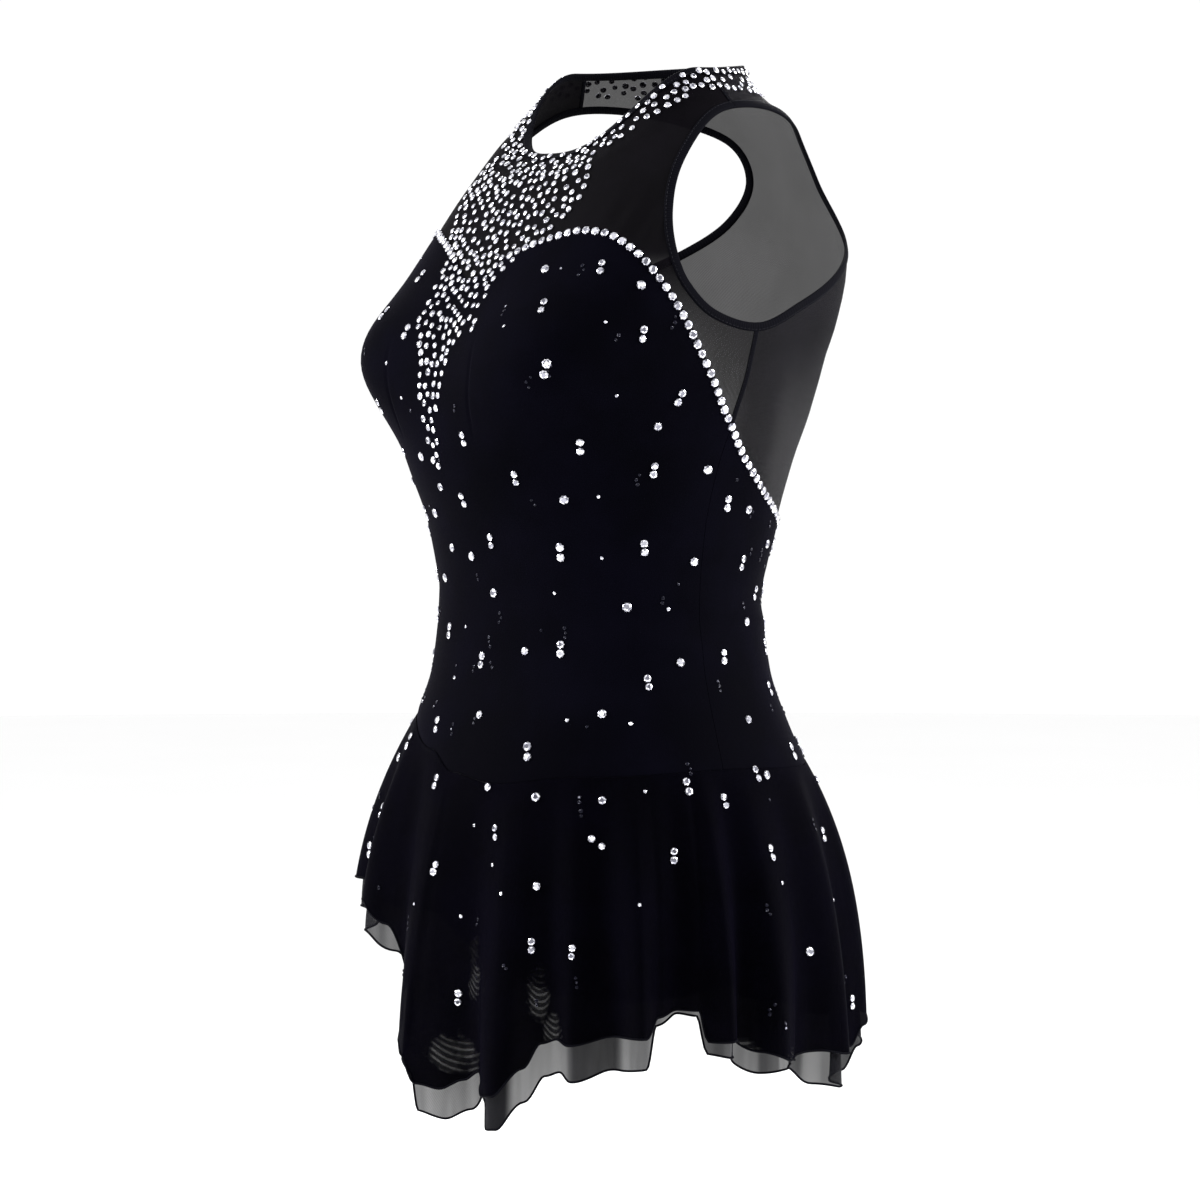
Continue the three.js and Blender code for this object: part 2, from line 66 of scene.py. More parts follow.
# Seams in degrees from the front
SHOULDER_SEAM = 95.5
SIDE_SEAM = 89.0

# The skirt's layers: how far each stands out at the seam, how far they part at the hem, and a usual length
LAYER_OUT = GAP / 2 + CHIFFON / 2
LAYER_APART = 3.4
SKIRT_LENGTH = 200

# Cloth that one degree round the dress takes up, in millimetres
VELVET_DEGREE = 2.4
NET_DEGREE = 2.3
SKIRT_DEGREE = 3.0


class Table:
    """A short table with named columns."""

    def __init__(self, columns, rows):
        self.columns = columns.split()
        self.rows = np.array(rows, float)

    def __getitem__(self, column):
        return self.rows[:, self.columns.index(column)]


# Levels of the worn form from the neckline down to the hip, in millimetres
LEVELS = Table("run front side back half ahead mid behind square_front square_back", [
    (0, -37, 19, 23, 72, -92, -24, 46, 2.0, 2.0),
    (12, -45.3, 9.7, 9.9, 80, -101.2, -21, 50, 2.4, 2.0),
    (24, -53.7, 0.1, -3.3, 87.9, -110.1, -18.4, 63, 2.7, 2.0),
    (30, -58, -5, -10, 92, -114, -18, 76, 2.8, 2.0),
    (70, -88, -45, -56, 120, -134, -18, 101, 2.8, 2.1),
    (110, -118, -98, -103, 140, -153, -20, 109, 2.9, 2.2),
    (150, -150, -150, -150, 149, -171, -26, 94, 2.6, 2.2),
    (175, -175, -175, -175, 149, -178, -32, 83, 2.35, 2.2),
    (205, -205, -205, -205, 142, -183, -38, 76, 2.1, 2.2),
    (240, -240, -240, -240, 130, -178, -44, 69, 2.0, 2.1),
    (285, -285, -285, -285, 121, -162, -49, 60, 2.0, 2.0),
    (330, -330, -330, -330, 118, -154, -51, 48, 2.0, 2.0),
    (375, -375, -375, -375, 125, -157, -51, 52, 2.0, 2.0),
    (415, -415, -415, -415, 137, -170, -50, 66, 2.0, 2.0),
    (455, -455, -455, -455, 150, -178, -48, 88, 2.0, 2.0),
])
CUP = {"angle": 33, "run": 172, "height": 22, "wide": 20, "above": 40, "below": 42}
DART = {"angle": 18.3, "half": 0.55, "top": 160, "end": 224, "depth": 0.7}

# Top edge of the velvet, for both sides
BODICE_EDGE = Table("angle run", [
    (0, 113), (6, 106), (12, 95), (18, 87), (27, 81), (36, 79.5), (45, 86), (54, 103), (60, 119),
    (69, 146), (78, 177), (90, 214), (102, 238), (117, 259), (135, 274), (156, 283), (180, 287),
])

# Left armhole edge, from the shoulder seam down the front and up the back
ARMHOLE = Table("angle run", [
    (95.5, 33), (85, 38.5), (76, 48), (67.5, 64), (63.7, 86), (64.5, 108), (68.8, 127), (77, 141.5),
    (89, 147.5), (105, 136.5), (123, 122.5), (138, 107.5), (151, 90), (159.5, 67), (155.5, 47),
    (137, 36), (114, 31.5),
])

# Seam between bodice and skirt, higher on the wearer's right hip
SKIRT_SEAM = Table("angle run", [
    (-180, 436), (-130, 428), (-90, 412), (-60, 406), (-36, 410), (-7, 428), (5, 441), (20, 446),
    (45, 440), (90, 436), (130, 439),
])

# Folds of the skirt: how far the hem stands out from its smooth ring
FOLDS = Table("angle out", [
    (-175, 11), (-164, -11), (-154, 12), (-143, -11), (-132, 12), (-121, -11), (-110, 11), (-99, -11),
    (-88, 12), (-77, -11), (-66, 12), (-55, -10), (-44, 13), (-33, -4), (-24, 9), (-12, -13), (3, 13),
    (17, -15), (28, 15), (39, -9), (45, 2), (52, -13), (61, 11), (66, -8), (71, -16), (76, -6),
    (81, 13), (87, -11), (95, 12), (108, -12), (119, 9), (129, -10), (140, 8), (152, -9), (163, 11),
    (174, -10),
])

# Hem of the skirt: how low it hangs and how much of the under layer shows
HEM_LINE = Table("angle low show", [
    (-175, -614, 20), (-154, -606, 20), (-132, -592, 20), (-110, -575, 20), (-88, -561, 20),
    (-66, -548, 20), (-50, -541, 20), (-38, -541, 20), (-24, -551, 20), (-17, -563, 18),
    (-9, -602, 16), (-1, -628, 12), (3, -636, 12), (5.6, -660, 18), (10, -665, 20), (14, -659, 20),
    (18, -649, 16), (21, -652, 12), (24.5, -667, 22), (28, -666, 22), (33.5, -648, 22),
    (37, -632, 22), (41, -629, 22), (44, -634, 24), (56, -626, 22), (62, -624, 20), (65, -598, 6),
    (71, -591, 3), (75.5, -592, 4), (77.5, -616, 8), (83, -618, 12), (91, -630, 14), (97, -628, 6),
    (103, -627, 3), (107, -632, 10), (113, -643, 22), (119, -646, 22), (130, -645, 20),
    (134, -641, 16), (138, -626, 14), (143, -619, 14), (152, -618, 18), (163, -616, 20),
    (174, -615, 20),
])
# Where the under layer's hem is folded over on itself: angle, half width and the share of light it stops
FOLDED_OVER = [
    (-162, 6, 0.65), (-138, 5, 0.6), (-104, 7, 0.7), (-70, 6, 0.6), (26, 5.5, 0.96), (50, 6.5, 0.82),
    (79, 3, 0.6), (93, 2, 0.6), (108, 3, 0.5), (135, 5, 0.6), (166, 6, 0.65),
]
# Where the folds of the over layer part: angle, depth below the seam, half width, half height, share
GLIMPSES = [
    (12.3, 178, 4.8, 13, 0.34), (17.2, 124, 2.0, 22, 0.3), (36.4, 137, 2.2, 20, 0.36),
    (39.8, 163, 2.4, 13, 0.36), (100, 187, 6, 8, 0.3), (86, 177, 5, 7, 0.3), (-55, 108, 4, 11, 0.3),
    (-98, 132, 5, 11, 0.3), (-150, 163, 5, 12, 0.3), (146, 166, 4.5, 11, 0.3),
]
# Ring of the hem, how fast the skirt springs out to it, and how the folds grow on the way down
HEM = {"half": 175, "front": 153, "back": 158.5, "mid": -46, "spring": 2.4, "lean": 0.6, "fold": 0.8}

# Ripples in the places where the folds part, in millimetres, and how uneven the gathered under layer is
RIPPLE = 4.2
STREAKS = 0.28

# Lamps: name, width in metres, power in watts, direction round the dress and up in degrees, and distance
LIGHTS = [
    ("left_side", 1.2, 120, -28, 26, 2.4), ("right_side", 1.2, 130, 138, 24, 2.4),
    ("rim", 1.2, 60, 232, 34, 2.6), ("front", 1.8, 14, 50, 40, 2.8),
]
LIT_POINT = np.array([0, -0.04, -0.33])

# Radius of the floor in millimetres
FLOOR_RADIUS = 9000

# The photograph's view: direction, width at the dress and shift in metres, on a sensor in millimetres
VIEW_TURN = 57
VIEW_RISE = 3
VIEW_WIDTH = 0.8
VIEW_ASIDE = -0.044
VIEW_LOW = -0.3333
SENSOR = 36

# Briefs, mirrored, from the skirt seam down to the crotch
BRIEFS_FRONT = Table("step centre edge half middle side", [
    (0, -447, -447, 142, -170, -48.5), (1, -476, -474, 144, -170, -48.5),
    (2, -503, -497, 143, -165, -48.5), (3, -530, -522, 119, -155, -92),
    (4, -557, -549, 88, -139, -103), (5, -581, -575, 58, -110, -89),
    (6, -596, -592, 39, -78, -68), (7, -601, -598, 34, -46, -46),
])
BRIEFS_BACK = Table("step centre edge half middle side", [
    (0, -447, -447, 142, 76, -48.5), (1, -476, -474, 144, 80, -48.5),
    (2, -503, -497, 143, 80, -48.5), (3, -533, -525, 127, 75, 2),
    (4, -562, -554, 104, 61, 20), (5, -585, -580, 74, 35, 12),
    (6, -597, -594, 45, -3, -12), (7, -601, -598, 34, -45.4, -45.4),
])

# Where each half yoke reaches across, from its outer edge to a place on the armhole
FRONT_YOKE = {"neck_start": 0, "neck_end": 2.6, "middle": 3.4}
FRONT_YOKE_EDGE = Table("angle hole", [
    (0, 3.4), (36, 4.2), (54, 4.8), (60, 5.3), (69, 6.3), (78, 7.1), (89, 8),
])
BACK_YOKE = {"neck_start": 17, "neck_end": 14.3, "middle": 12.3}
BACK_YOKE_EDGE = Table("angle hole", [
    (89, 8), (102, 8.9), (117, 9.7), (135, 10.6), (156, 11.5), (180, 12.3),
])

# Soft creases pulled into the cloth: centre, length across and down, slant and depth
CREASES = Table("angle run wide tall slant depth", [
    (70, 335, 26, 5, 0.35, -0.9), (66, 352, 22, 4, 0.30, 0.7), (74, 318, 18, 4, 0.45, 0.5),
    (84, 372, 20, 5, -0.25, -0.6), (40, 322, 15, 4, 0.2, -0.5), (17, 298, 14, 4, -0.1, -0.4),
    (-58, 330, 24, 5, -0.35, -0.8), (-66, 347, 20, 4, -0.3, 0.6), (-30, 318, 14, 4, -0.15, -0.4),
    (128, 330, 22, 5, 0.2, -0.9), (140, 346, 20, 4, 0.3, 0.7), (165, 322, 22, 5, 0.1, -0.8),
    (-150, 334, 24, 5, -0.2, -0.9), (-128, 318, 18, 4, -0.3, 0.6), (-104, 352, 22, 5, 0.25, -0.6),
    (104, 268, 12, 6, 0.9, -0.6), (-104, 268, 12, 6, -0.9, -0.6), (56, 176, 9, 9, 0.9, -0.5),
    (-56, 176, 9, 9, -0.9, -0.5), (150, 300, 20, 4, 0.1, -0.5), (-170, 352, 18, 4, 0.1, 0.6),
])

# Rings of a cut stone, as radius, height and turn in degrees, and how the stones lean
STONE_RINGS = [(0.93, 0, 0), (1, 0.16, 0), (0.84, 0.36, 22.5), (0.52, 0.5, 0)]
STONE_SEED = 3
STONE_TILT = 0.05

# Stones on the velvet, as seen from the front left. Kind 3 is a large pair, 2 a pair, 1 a single stone and 0
# a small one
VELVET_STONES = Table("angle run kind", [
    (45.8, 111.5, 2), (30.8, 108, 1), (56, 125.5, 1), (34.5, 136, 2), (58.5, 154.5, 2), (39.2, 176.5, 3),
    (15.2, 149.5, 2), (-14.2, 154.5, 2), (-25.5, 112, 2), (71.8, 195, 2), (68.2, 213.5, 1), (49, 226.5, 2),
    (14.2, 222.5, 2), (30, 247.5, 2), (69.8, 242, 2), (85.8, 242, 1), (44, 261, 1), (54.2, 259, 0),
    (7.8, 262.5, 2), (15.2, 289.5, 2), (40.5, 295.5, 3), (68, 292.5, 2), (96.5, 264.5, 2), (107.5, 269, 1),
    (85.8, 302, 1), (109.2, 304, 2), (-5.8, 295, 1), (4.8, 300, 1), (13.2, 323.5, 1), (37, 322.5, 0),
    (62, 331, 1), (-13, 351, 2), (114.5, 343, 1), (-12.2, 272.5, 1), (-8.5, 235, 1), (-1.5, 254.5, 1),
    (-17, 316, 1), (-18.5, 174.5, 0), (-12.8, 197, 0), (55.8, 193.5, 0), (49.5, 147, 0), (26.8, 150, 0),
    (8.2, 368, 2), (26.2, 360.5, 1), (39, 358.5, 2), (79.8, 367, 1), (98.5, 364.5, 2), (67.8, 379.5, 2),
    (126.2, 388, 2), (-7.2, 412, 2), (12.2, 403, 1), (53, 399.5, 1), (104.2, 405.5, 1), (31, 424.5, 3),
    (42.5, 404, 0), (61.8, 405.5, 0), (-5.5, 381, 0), (-1.5, 347, 0), (76.8, 332.5, 0), (54, 299, 0),
    (-28.5, 400, 0),
])

# Stones on the skirt's over layer, by the fraction of the way down; kind 4 is a slanting pair
SKIRT_STONES = Table("angle down kind", [
    (-0.8, 0.068, 2), (19, 0.012, 1), (34.2, 0.052, 1), (52.5, 0.076, 1), (64.2, 0.06, 0), (76.5, 0.052, 2),
    (87.5, 0.104, 2), (100.8, 0.018, 2), (105, 0.022, 1), (15, 0.136, 0), (23, 0.144, 2), (50.8, 0.216, 4),
    (70.8, 0.336, 2), (98, 0.276, 2), (130.5, 0.22, 2), (5.2, 0.284, 2), (35.5, 0.344, 1), (61, 0.432, 0),
    (34.8, 0.524, 2), (45, 0.568, 2), (111.2, 0.584, 1), (13, 0.656, 2), (23, 0.24, 0), (27.2, 0.316, 0),
    (100.5, 0.38, 0), (129.8, 0.428, 0), (0.5, 0.464, 0), (12.8, 0.412, 0),
])

# Beaded panel: half width in degrees at each run
BEADED_PANEL = Table("run half", [
    (10, 42), (20, 40), (40, 40), (58, 36), (73, 28), (91, 19), (113, 14), (130, 13), (150, 11),
    (166, 7.5), (185, 6), (205, 3.5), (241, 1.5),
])


def arrays(*values):
    """The values as arrays of one shape."""
    return np.broadcast_arrays(*(np.asarray(value, float) for value in values))


def sin_cos(degrees):
    turn = np.radians(degrees)
    return np.sin(turn), np.cos(turn)


def level_out(angle):
    """The level direction away from the dress at an angle."""
    sin, cos = sin_cos(angle)
    return np.stack([sin, -cos, np.zeros(np.shape(angle))], -1)


def lengths(line):
    """How far along a line each of its points is."""
    return np.concatenate([[0], np.cumsum(np.linalg.norm(np.diff(line, axis=0), axis=1))])


def along(keys, values, at):
    """Smooth curve through one column of a table, without overshoot."""
    x = np.clip(at, keys[0], keys[-1])
    i = np.clip(np.searchsorted(keys, x, side="right") - 1, 0, len(keys) - 2)
    gaps = np.diff(keys)
    slope = np.diff(values) / gaps
    before, after = slope[:-1], slope[1:]
    both = before + after
    meet = np.where(before * after > 0, 2 * before * after / np.where(both == 0, 1, both), 0)
    tangent = np.concatenate([slope[:1], meet, slope[-1:]])
    span = gaps[i]
    t = (x - keys[i]) / span
    u = 1 - t
    start = values[i] * (1 + 2 * t) * u * u + tangent[i] * span * t * u * u
    return start + values[i + 1] * t * t * (3 - 2 * t) - tangent[i + 1] * span * t * t * u


def wave(table, column, angle):
    """Soft wave through one column of a table of angles that goes all the way round."""
    keys = np.append(table["angle"], table["angle"][0] + 360)
    values = np.append(table[column], table[column][0])
    a = np.mod(np.asarray(angle, float) - keys[0], 360) + keys[0]
    i = np.clip(np.searchsorted(keys, a, side="right") - 1, 0, len(keys) - 2)
    t = (a - keys[i]) / (keys[i + 1] - keys[i])
    return values[i] + (values[i + 1] - values[i]) * t * t * (3 - 2 * t)


def folded(angle):
    """The same angle between 0 and 180, whichever side of the dress it is on."""
    return np.abs(np.mod(np.asarray(angle, float) + 540, 360) - 180)


def edge_run(angle):
    return along(BODICE_EDGE["angle"], BODICE_EDGE["run"], folded(angle))


def seam_run(angle):
    return wave(SKIRT_SEAM, "run", angle)


def form(angle, run):
    """Points of the form at angles from the front and runs down the cloth."""
    angle, run = arrays(angle, run)
    level = {name: along(LEVELS["run"], LEVELS[name], run) for name in LEVELS.columns[1:]}
    sin, cos = sin_cos(angle)
    ahead = cos > 0
    n = np.where(ahead, level["square_front"], level["square_back"])
    reach = (np.abs(sin) ** n + np.abs(cos) ** n) ** (-1 / n)
    depth = np.where(ahead, level["mid"] - level["ahead"], level["behind"] - level["mid"])
    x = level["half"] * sin * reach
    y = -depth * cos * reach
    end = np.where(ahead, level["front"], level["back"])
    z = end + (level["side"] - end) * np.abs(sin) ** 3
    turn = (folded(angle) - CUP["angle"]) / CUP["wide"]
    drop = (run - CUP["run"]) / np.where(run < CUP["run"], CUP["above"], CUP["below"])
    grow = 1 + CUP["height"] * np.exp(-turn * turn - drop * drop) / np.hypot(x, y)
    return np.stack([x * grow, level["mid"] + y * grow, z], -1)


def unit(vectors):
    return vectors / np.maximum(np.linalg.norm(vectors, axis=-1, keepdims=True), 1e-12)


def outward(surface, a, b, step_a=0.4, step_b=0.5):
    """Outward direction of a surface of two numbers."""
    across = surface(a + step_a, b) - surface(a - step_a, b)
    down = surface(a, b + step_b) - surface(a, b - step_b)
    return unit(np.cross(down, across))


def form_at(angle, run, out):
    """Points of the form moved out along its own outward direction."""
    angle, run = arrays(angle, run)
    normal = outward(form, angle, np.maximum(run, 0.6))
    return form(angle, run) + normal * np.asarray(out, float)[..., None]


def crease(angle, run):
    """Height of the soft creases in the velvet, in millimetres."""
    total = np.zeros(np.broadcast(angle, run).shape)
    for a, r, wide, tall, slant, depth in CREASES.rows:
        off = np.mod(np.asarray(angle, float) - a + 180, 360) - 180
        across = off / wide
        down = (run - r - slant * off) / (tall * 1.6)
        total = total + depth * np.exp(-across * across - down * down)
    return total


def velvet_at(angle, run, out):
    """Points on the velvet: the form with its creases and the dart under each cup."""
    turn = folded(angle)
    dart = np.exp(-((turn - DART["angle"]) / DART["half"]) ** 2)
    dart = dart * np.clip((run - DART["top"]) / 12, 0, 1) * np.clip((DART["end"] - run) / 14, 0, 1)
    return form_at(angle, run, out + crease(angle, run) - DART["depth"] * dart)


def armhole_at(hole, width):
    """The left armhole edge moved into the cloth by a width, as angle and run."""
    count = len(ARMHOLE.rows)

    def curve(place):
        place = np.mod(place, count)
        i = np.floor(place).astype(int)
        t = (place - i)[..., None]
        p0, p1, p2, p3 = (ARMHOLE.rows[(i + k) % count] for k in (-1, 0, 1, 2))
        steps = (p1 - p0, p2 - p1, p3 - p2)
        d0, d1, d2 = (np.sqrt(np.linalg.norm(step, axis=-1))[..., None] for step in steps)
        t1 = ((p1 - p0) / d0 - (p2 - p0) / (d0 + d1) + (p2 - p1) / d1) * d1
        t2 = ((p2 - p1) / d1 - (p3 - p1) / (d1 + d2) + (p3 - p2) / d2) * d1
        return p1 + t1 * t + (3 * (p2 - p1) - 2 * t1 - t2) * t**2 + (2 * (p1 - p2) + t1 + t2) * t**3

    hole = np.asarray(hole, float)
    here = curve(hole)
    angle, run = here[..., 0], here[..., 1]
    ahead, before = curve(hole + 0.068), curve(hole - 0.068)
    way = unit(form(ahead[..., 0], ahead[..., 1]) - form(before[..., 0], before[..., 1]))
    away = unit(np.cross(way, outward(form, angle, run)))
    per_angle = form(angle + 0.5, run) - form(angle - 0.5, run)
    per_run = form(angle, run + 0.5) - form(angle, run - 0.5)
    aa, rr, ar = (per_angle * per_angle).sum(-1), (per_run * per_run).sum(-1), (per_angle * per_run).sum(-1)
    on_angle, on_run = (away * per_angle).sum(-1) * width, (away * per_run).sum(-1) * width
    whole = aa * rr - ar * ar
    turned, moved = (on_angle * rr - on_run * ar) / whole, (on_run * aa - on_angle * ar) / whole
    return np.stack([angle + turned, run + moved], -1)


def turn_for(length, angle, run):
    """How many degrees round the form a length covers."""
    return length / float(np.linalg.norm(form(angle + 0.5, run) - form(angle - 0.5, run)))


def yoke_half(centre, plan, edge, rows):
    """Half of a yoke as a grid of angle and run. Its edges lie inside the bindings and the velvet."""
    neck, low = NECK_BAND - 1.6, float(edge_run(centre)) + 1.8
    start, stop, middle = plan["neck_start"], plan["neck_end"], plan["middle"]
    t = np.linspace(0, 1, 49)
    by_neck = np.linspace(SHOULDER_SEAM, centre, 49), np.full(49, neck), start + (stop - start) * t
    t = np.linspace(0, 1, 27 if centre == 0 else 51)[1:]
    by_middle = np.full(len(t), float(centre)), neck + (low - neck) * t, stop + (middle - stop) * t
    turn = np.linspace(centre, SIDE_SEAM, 60)[1:]
    by_edge = turn, edge_run(turn) + 1.8, along(edge["angle"], edge["hole"], turn)
    path = np.concatenate([np.stack(side, -1) for side in (by_neck, by_middle, by_edge)])
    inner = armhole_at(path[:, 2], ARMHOLE_BAND - 1.8)
    inner[0, 0], inner[-1, 0] = SHOULDER_SEAM, SIDE_SEAM
    part = np.linspace(0, 1, rows)[:, None]
    angle = inner[:, 0] + (path[:, 0] - inner[:, 0]) * part
    share = inner[:, 1] / edge_run(inner[:, 0])
    run = edge_run(angle) * (share + (path[:, 1] / edge_run(path[:, 0]) - share) * part)
    return np.stack([angle, run], -1)


def ripple(angle, down):
    """Small soft waves that grow towards the hem of the skirt."""
    a = np.radians(angle)
    wide = 1.1 * np.sin(31 * a + 1.3 * np.sin(5 * a))
    narrow = 0.8 * np.sin(53 * a + 2 * np.sin(3 * a) + 4 * down)
    return (wide + narrow) * down**4


def skirt(angle, down, under):
    """Points of the skirt at an angle and a fraction of the way down."""
    angle, down = arrays(angle, down)
    top = form(angle, seam_run(angle))
    sin, cos = sin_cos(angle)
    depth = np.where(cos > 0, HEM["front"], HEM["back"])
    spring = 1 - (1 - np.minimum(down, 1)) ** (HEM["spring"] - HEM["lean"] * cos)
    stand = wave(FOLDS, "out", angle) * np.maximum(down, 0) ** HEM["fold"] - under * LAYER_APART * down
    stand = stand + ripple(angle + 4 * under, down)
    x = top[..., 0] + (HEM["half"] * sin - top[..., 0]) * spring + sin * stand
    y = top[..., 1] + (HEM["mid"] - depth * cos - top[..., 1]) * spring - cos * stand
    return np.stack([x, y, top[..., 2] + (wave(HEM_LINE, "low", angle) - top[..., 2]) * down], -1)


def skirt_at(angle, down, under, out):
    """Skirt points moved out, level with the velvet at the seam."""
    angle, down = arrays(angle, down)
    normal = outward(form, angle, seam_run(angle))
    share = np.minimum(1, down / 0.2)[..., None]
    return skirt(angle, down, under) + unit(normal + (level_out(angle) - normal) * share) * out


def skirt_drop(angle):
    """How far the under layer's hem hangs below the skirt seam."""
    return -seam_run(angle) - wave(HEM_LINE, "low", angle)


def skirt_end(angle, under):
    """Fraction of the way down at which a layer ends."""
    return np.ones(np.shape(angle)) if under else 1 - wave(HEM_LINE, "show", angle) / skirt_drop(angle)


def briefs(table, back, turn, step):
    """Points of the briefs: arcs from one leg edge to the other."""
    row = {name: along(table["step"], table[name], step) for name in table.columns[1:]}
    sin, cos = sin_cos(turn)
    x = row["half"] * (-sin if back else sin)
    y = row["side"] + (row["middle"] - row["side"]) * cos
    z = row["edge"] + (row["centre"] - row["edge"]) * cos
    point = np.stack([x, y, z], -1)
    angle = 180 + turn if back else turn
    high = form_at(angle, seam_run(angle) + 40 * np.minimum(step, 1), -(1.7 * GAP + CHIFFON))
    s = np.clip(step, 0, 1)
    ease = (1 - s * s * (3 - 2 * s))[..., None]
    return point + (high - point) * ease


# Mesh making

def make_object(name, points, faces, finishes, face_finish=None, uv=None, smooth=True, sharp=None):
    """An object from points in millimetres and faces, with its finishes."""
    mesh = bpy.data.meshes.new(name)
    mesh.from_pydata((np.asarray(points) * MM).tolist(), [], faces)
    mesh.validate()
    if uv is not None:
        layer = mesh.uv_layers.new(name="cloth")
        corner = np.zeros(len(mesh.loops), np.int32)
        mesh.loops.foreach_get("vertex_index", corner)
        layer.data.foreach_set("uv", (np.asarray(uv)[corner] * MM).astype(np.float32).ravel())
    for material in finishes:
        mesh.materials.append(material)
    if face_finish is not None:
        mesh.polygons.foreach_set("material_index", np.asarray(face_finish, np.int32))
    mesh.polygons.foreach_set("use_smooth", np.full(len(mesh.polygons), smooth))
    if sharp is not None:
        mesh.set_sharp_from_angle(angle=math.radians(sharp))
    mesh.update()
    thing = bpy.data.objects.new(name, mesh)
    bpy.context.scene.collection.objects.link(thing)
    return thing


def grid_faces(rows, columns, start=0, flip=False, closed=False, joined=False):
    """Quads of a grid of points, wound so that they face out.

    closed joins the ends of each row, and joined the last row to the first.
    """
    faces = []
    for j in range(rows if joined else rows - 1):
        low, high = start + j * columns, start + (j + 1) % rows * columns
        for i in range(columns if closed else columns - 1):
            k = (i + 1) % columns
            a, b, c, d = low + i, low + k, high + k, high + i
            faces.append((a, b, c, d) if flip else (a, d, c, b))
    return faces


def shell(name, outer, inner, uv, finishes):
    """Cloth with two faces and rims from grids of points."""
    rows, columns = outer.shape[:2]
    count = rows * columns
    faces = grid_faces(rows, columns)
    back = grid_faces(rows, columns, count, flip=True)
    index = np.arange(count).reshape(rows, columns)
    rims = []
    for edge in (index[0], index[-1, ::-1], index[::-1, 0], index[:, -1]):
        edge = edge.tolist()
        rims += [(b, a, a + count, b + count) for a, b in zip(edge, edge[1:])]
    points = np.concatenate([outer.reshape(-1, 3), inner.reshape(-1, 3)])
    flat = np.concatenate([uv.reshape(-1, 2)] * 2)
    marks = [0] * len(faces) + [1 % len(finishes)] * len(back) + [0] * len(rims)
    return make_object(name, points, faces + back + rims, finishes, marks, flat, sharp=50)


def sheer(name, grids, uvs, net, flips):
    """Sheer cloth, one face thick, from one or more grids of points that share their edges."""
    points, flat, faces, start = [], [], [], 0
    for grid, uv, flip in zip(grids, uvs, flips):
        rows, columns = grid.shape[:2]
        faces += grid_faces(rows, columns, start, flip)
        points.append(grid.reshape(-1, 3))
        flat.append(uv.reshape(-1, 2))
        start += rows * columns
    points = np.round(np.concatenate(points), 4)
    flat = np.concatenate(flat)
    found, first, index = np.unique(points, axis=0, return_index=True, return_inverse=True)
    index = index.ravel().tolist()
    rings = (tuple(dict.fromkeys(index[corner] for corner in face)) for face in faces)
    kept = [ring for ring in rings if len(ring) > 2]
    return make_object(name, found, kept, [net], uv=flat[first])


def tube(name, line, radius, normals, closed=True, sides=8, squash=1.0):
    """A thin rolled edge of binding along a line of points in millimetres."""
    line = np.asarray(line, float)
    count = len(line)
    if closed:
        way = unit(np.roll(line, -1, 0) - np.roll(line, 1, 0))
    else:
        way = unit(np.gradient(line, axis=0))
    across = unit(np.cross(way, normals))
    high = unit(np.cross(across, way))
    t = np.linspace(0, 2 * math.pi, sides, endpoint=False)
    ring = across[:, None] * np.cos(t)[None, :, None] + high[:, None] * np.sin(t)[None, :, None] * squash
    points = line[:, None] + ring * radius
    faces = grid_faces(count, sides, flip=True, closed=True, joined=closed)
    if not closed:
        faces.append(tuple(range(sides - 1, -1, -1)))
        faces.append(tuple((count - 1) * sides + i for i in range(sides)))
    uv = np.stack(arrays(lengths(line)[:, None], t[None]), -1)
    return make_object(name, points.reshape(-1, 3), faces, [finish("binding")], uv=uv.reshape(-1, 2))


def stitches(name, lines, normals, closed=True):
    """Rows of short raised stitches along lines of points in millimetres."""
    pitch, length, radius = STITCH["pitch"], STITCH["length"], STITCH["radius"]
    points, faces = [], []
    for line, normal in zip(lines, normals):
        if closed:
            line, normal = (np.concatenate([part, part[:1]]) for part in (line, normal))
        far = lengths(line)
        count = int(far[-1] / pitch)
        middle = (np.arange(count) + 0.5) * far[-1] / count

        def at(distance, values, far=far):
            return np.stack([np.interp(distance, far, values[:, k]) for k in range(3)], -1)

        high = unit(at(middle, normal))
        across = unit(np.cross(at(middle + 0.4, line) - at(middle - 0.4, line), high))
        turns = np.arange(6) * math.pi / 3
        start = sum(len(part) for part in points)
        for part, swell in ((-0.5, 0.35), (-0.3, 1.0), (0.3, 1.0), (0.5, 0.35)):
            core = at(middle + part * length, line) + high * (radius * (0.4 if swell == 1 else -0.5))
            ring = across[:, None] * np.cos(turns)[:, None] + high[:, None] * np.sin(turns)[:, None]
            points.append((core[:, None] + ring * radius * swell).reshape(-1, 3))
        for k in range(count):
            rings = [[start + (r * count + k) * 6 + i for i in range(6)] for r in range(4)]
            for a, b in zip(rings, rings[1:]):
                faces += [(a[i], a[(i + 1) % 6], b[(i + 1) % 6], b[i]) for i in range(6)]
            faces += [tuple(rings[0][::-1]), tuple(rings[-1])]
    return make_object(name, np.concatenate(points), faces, [finish("thread")])


VELVET_PIECES = ["bodice_front", "bodice_back"]
YOKE_PIECES = ["yoke_front", "yoke_back"]

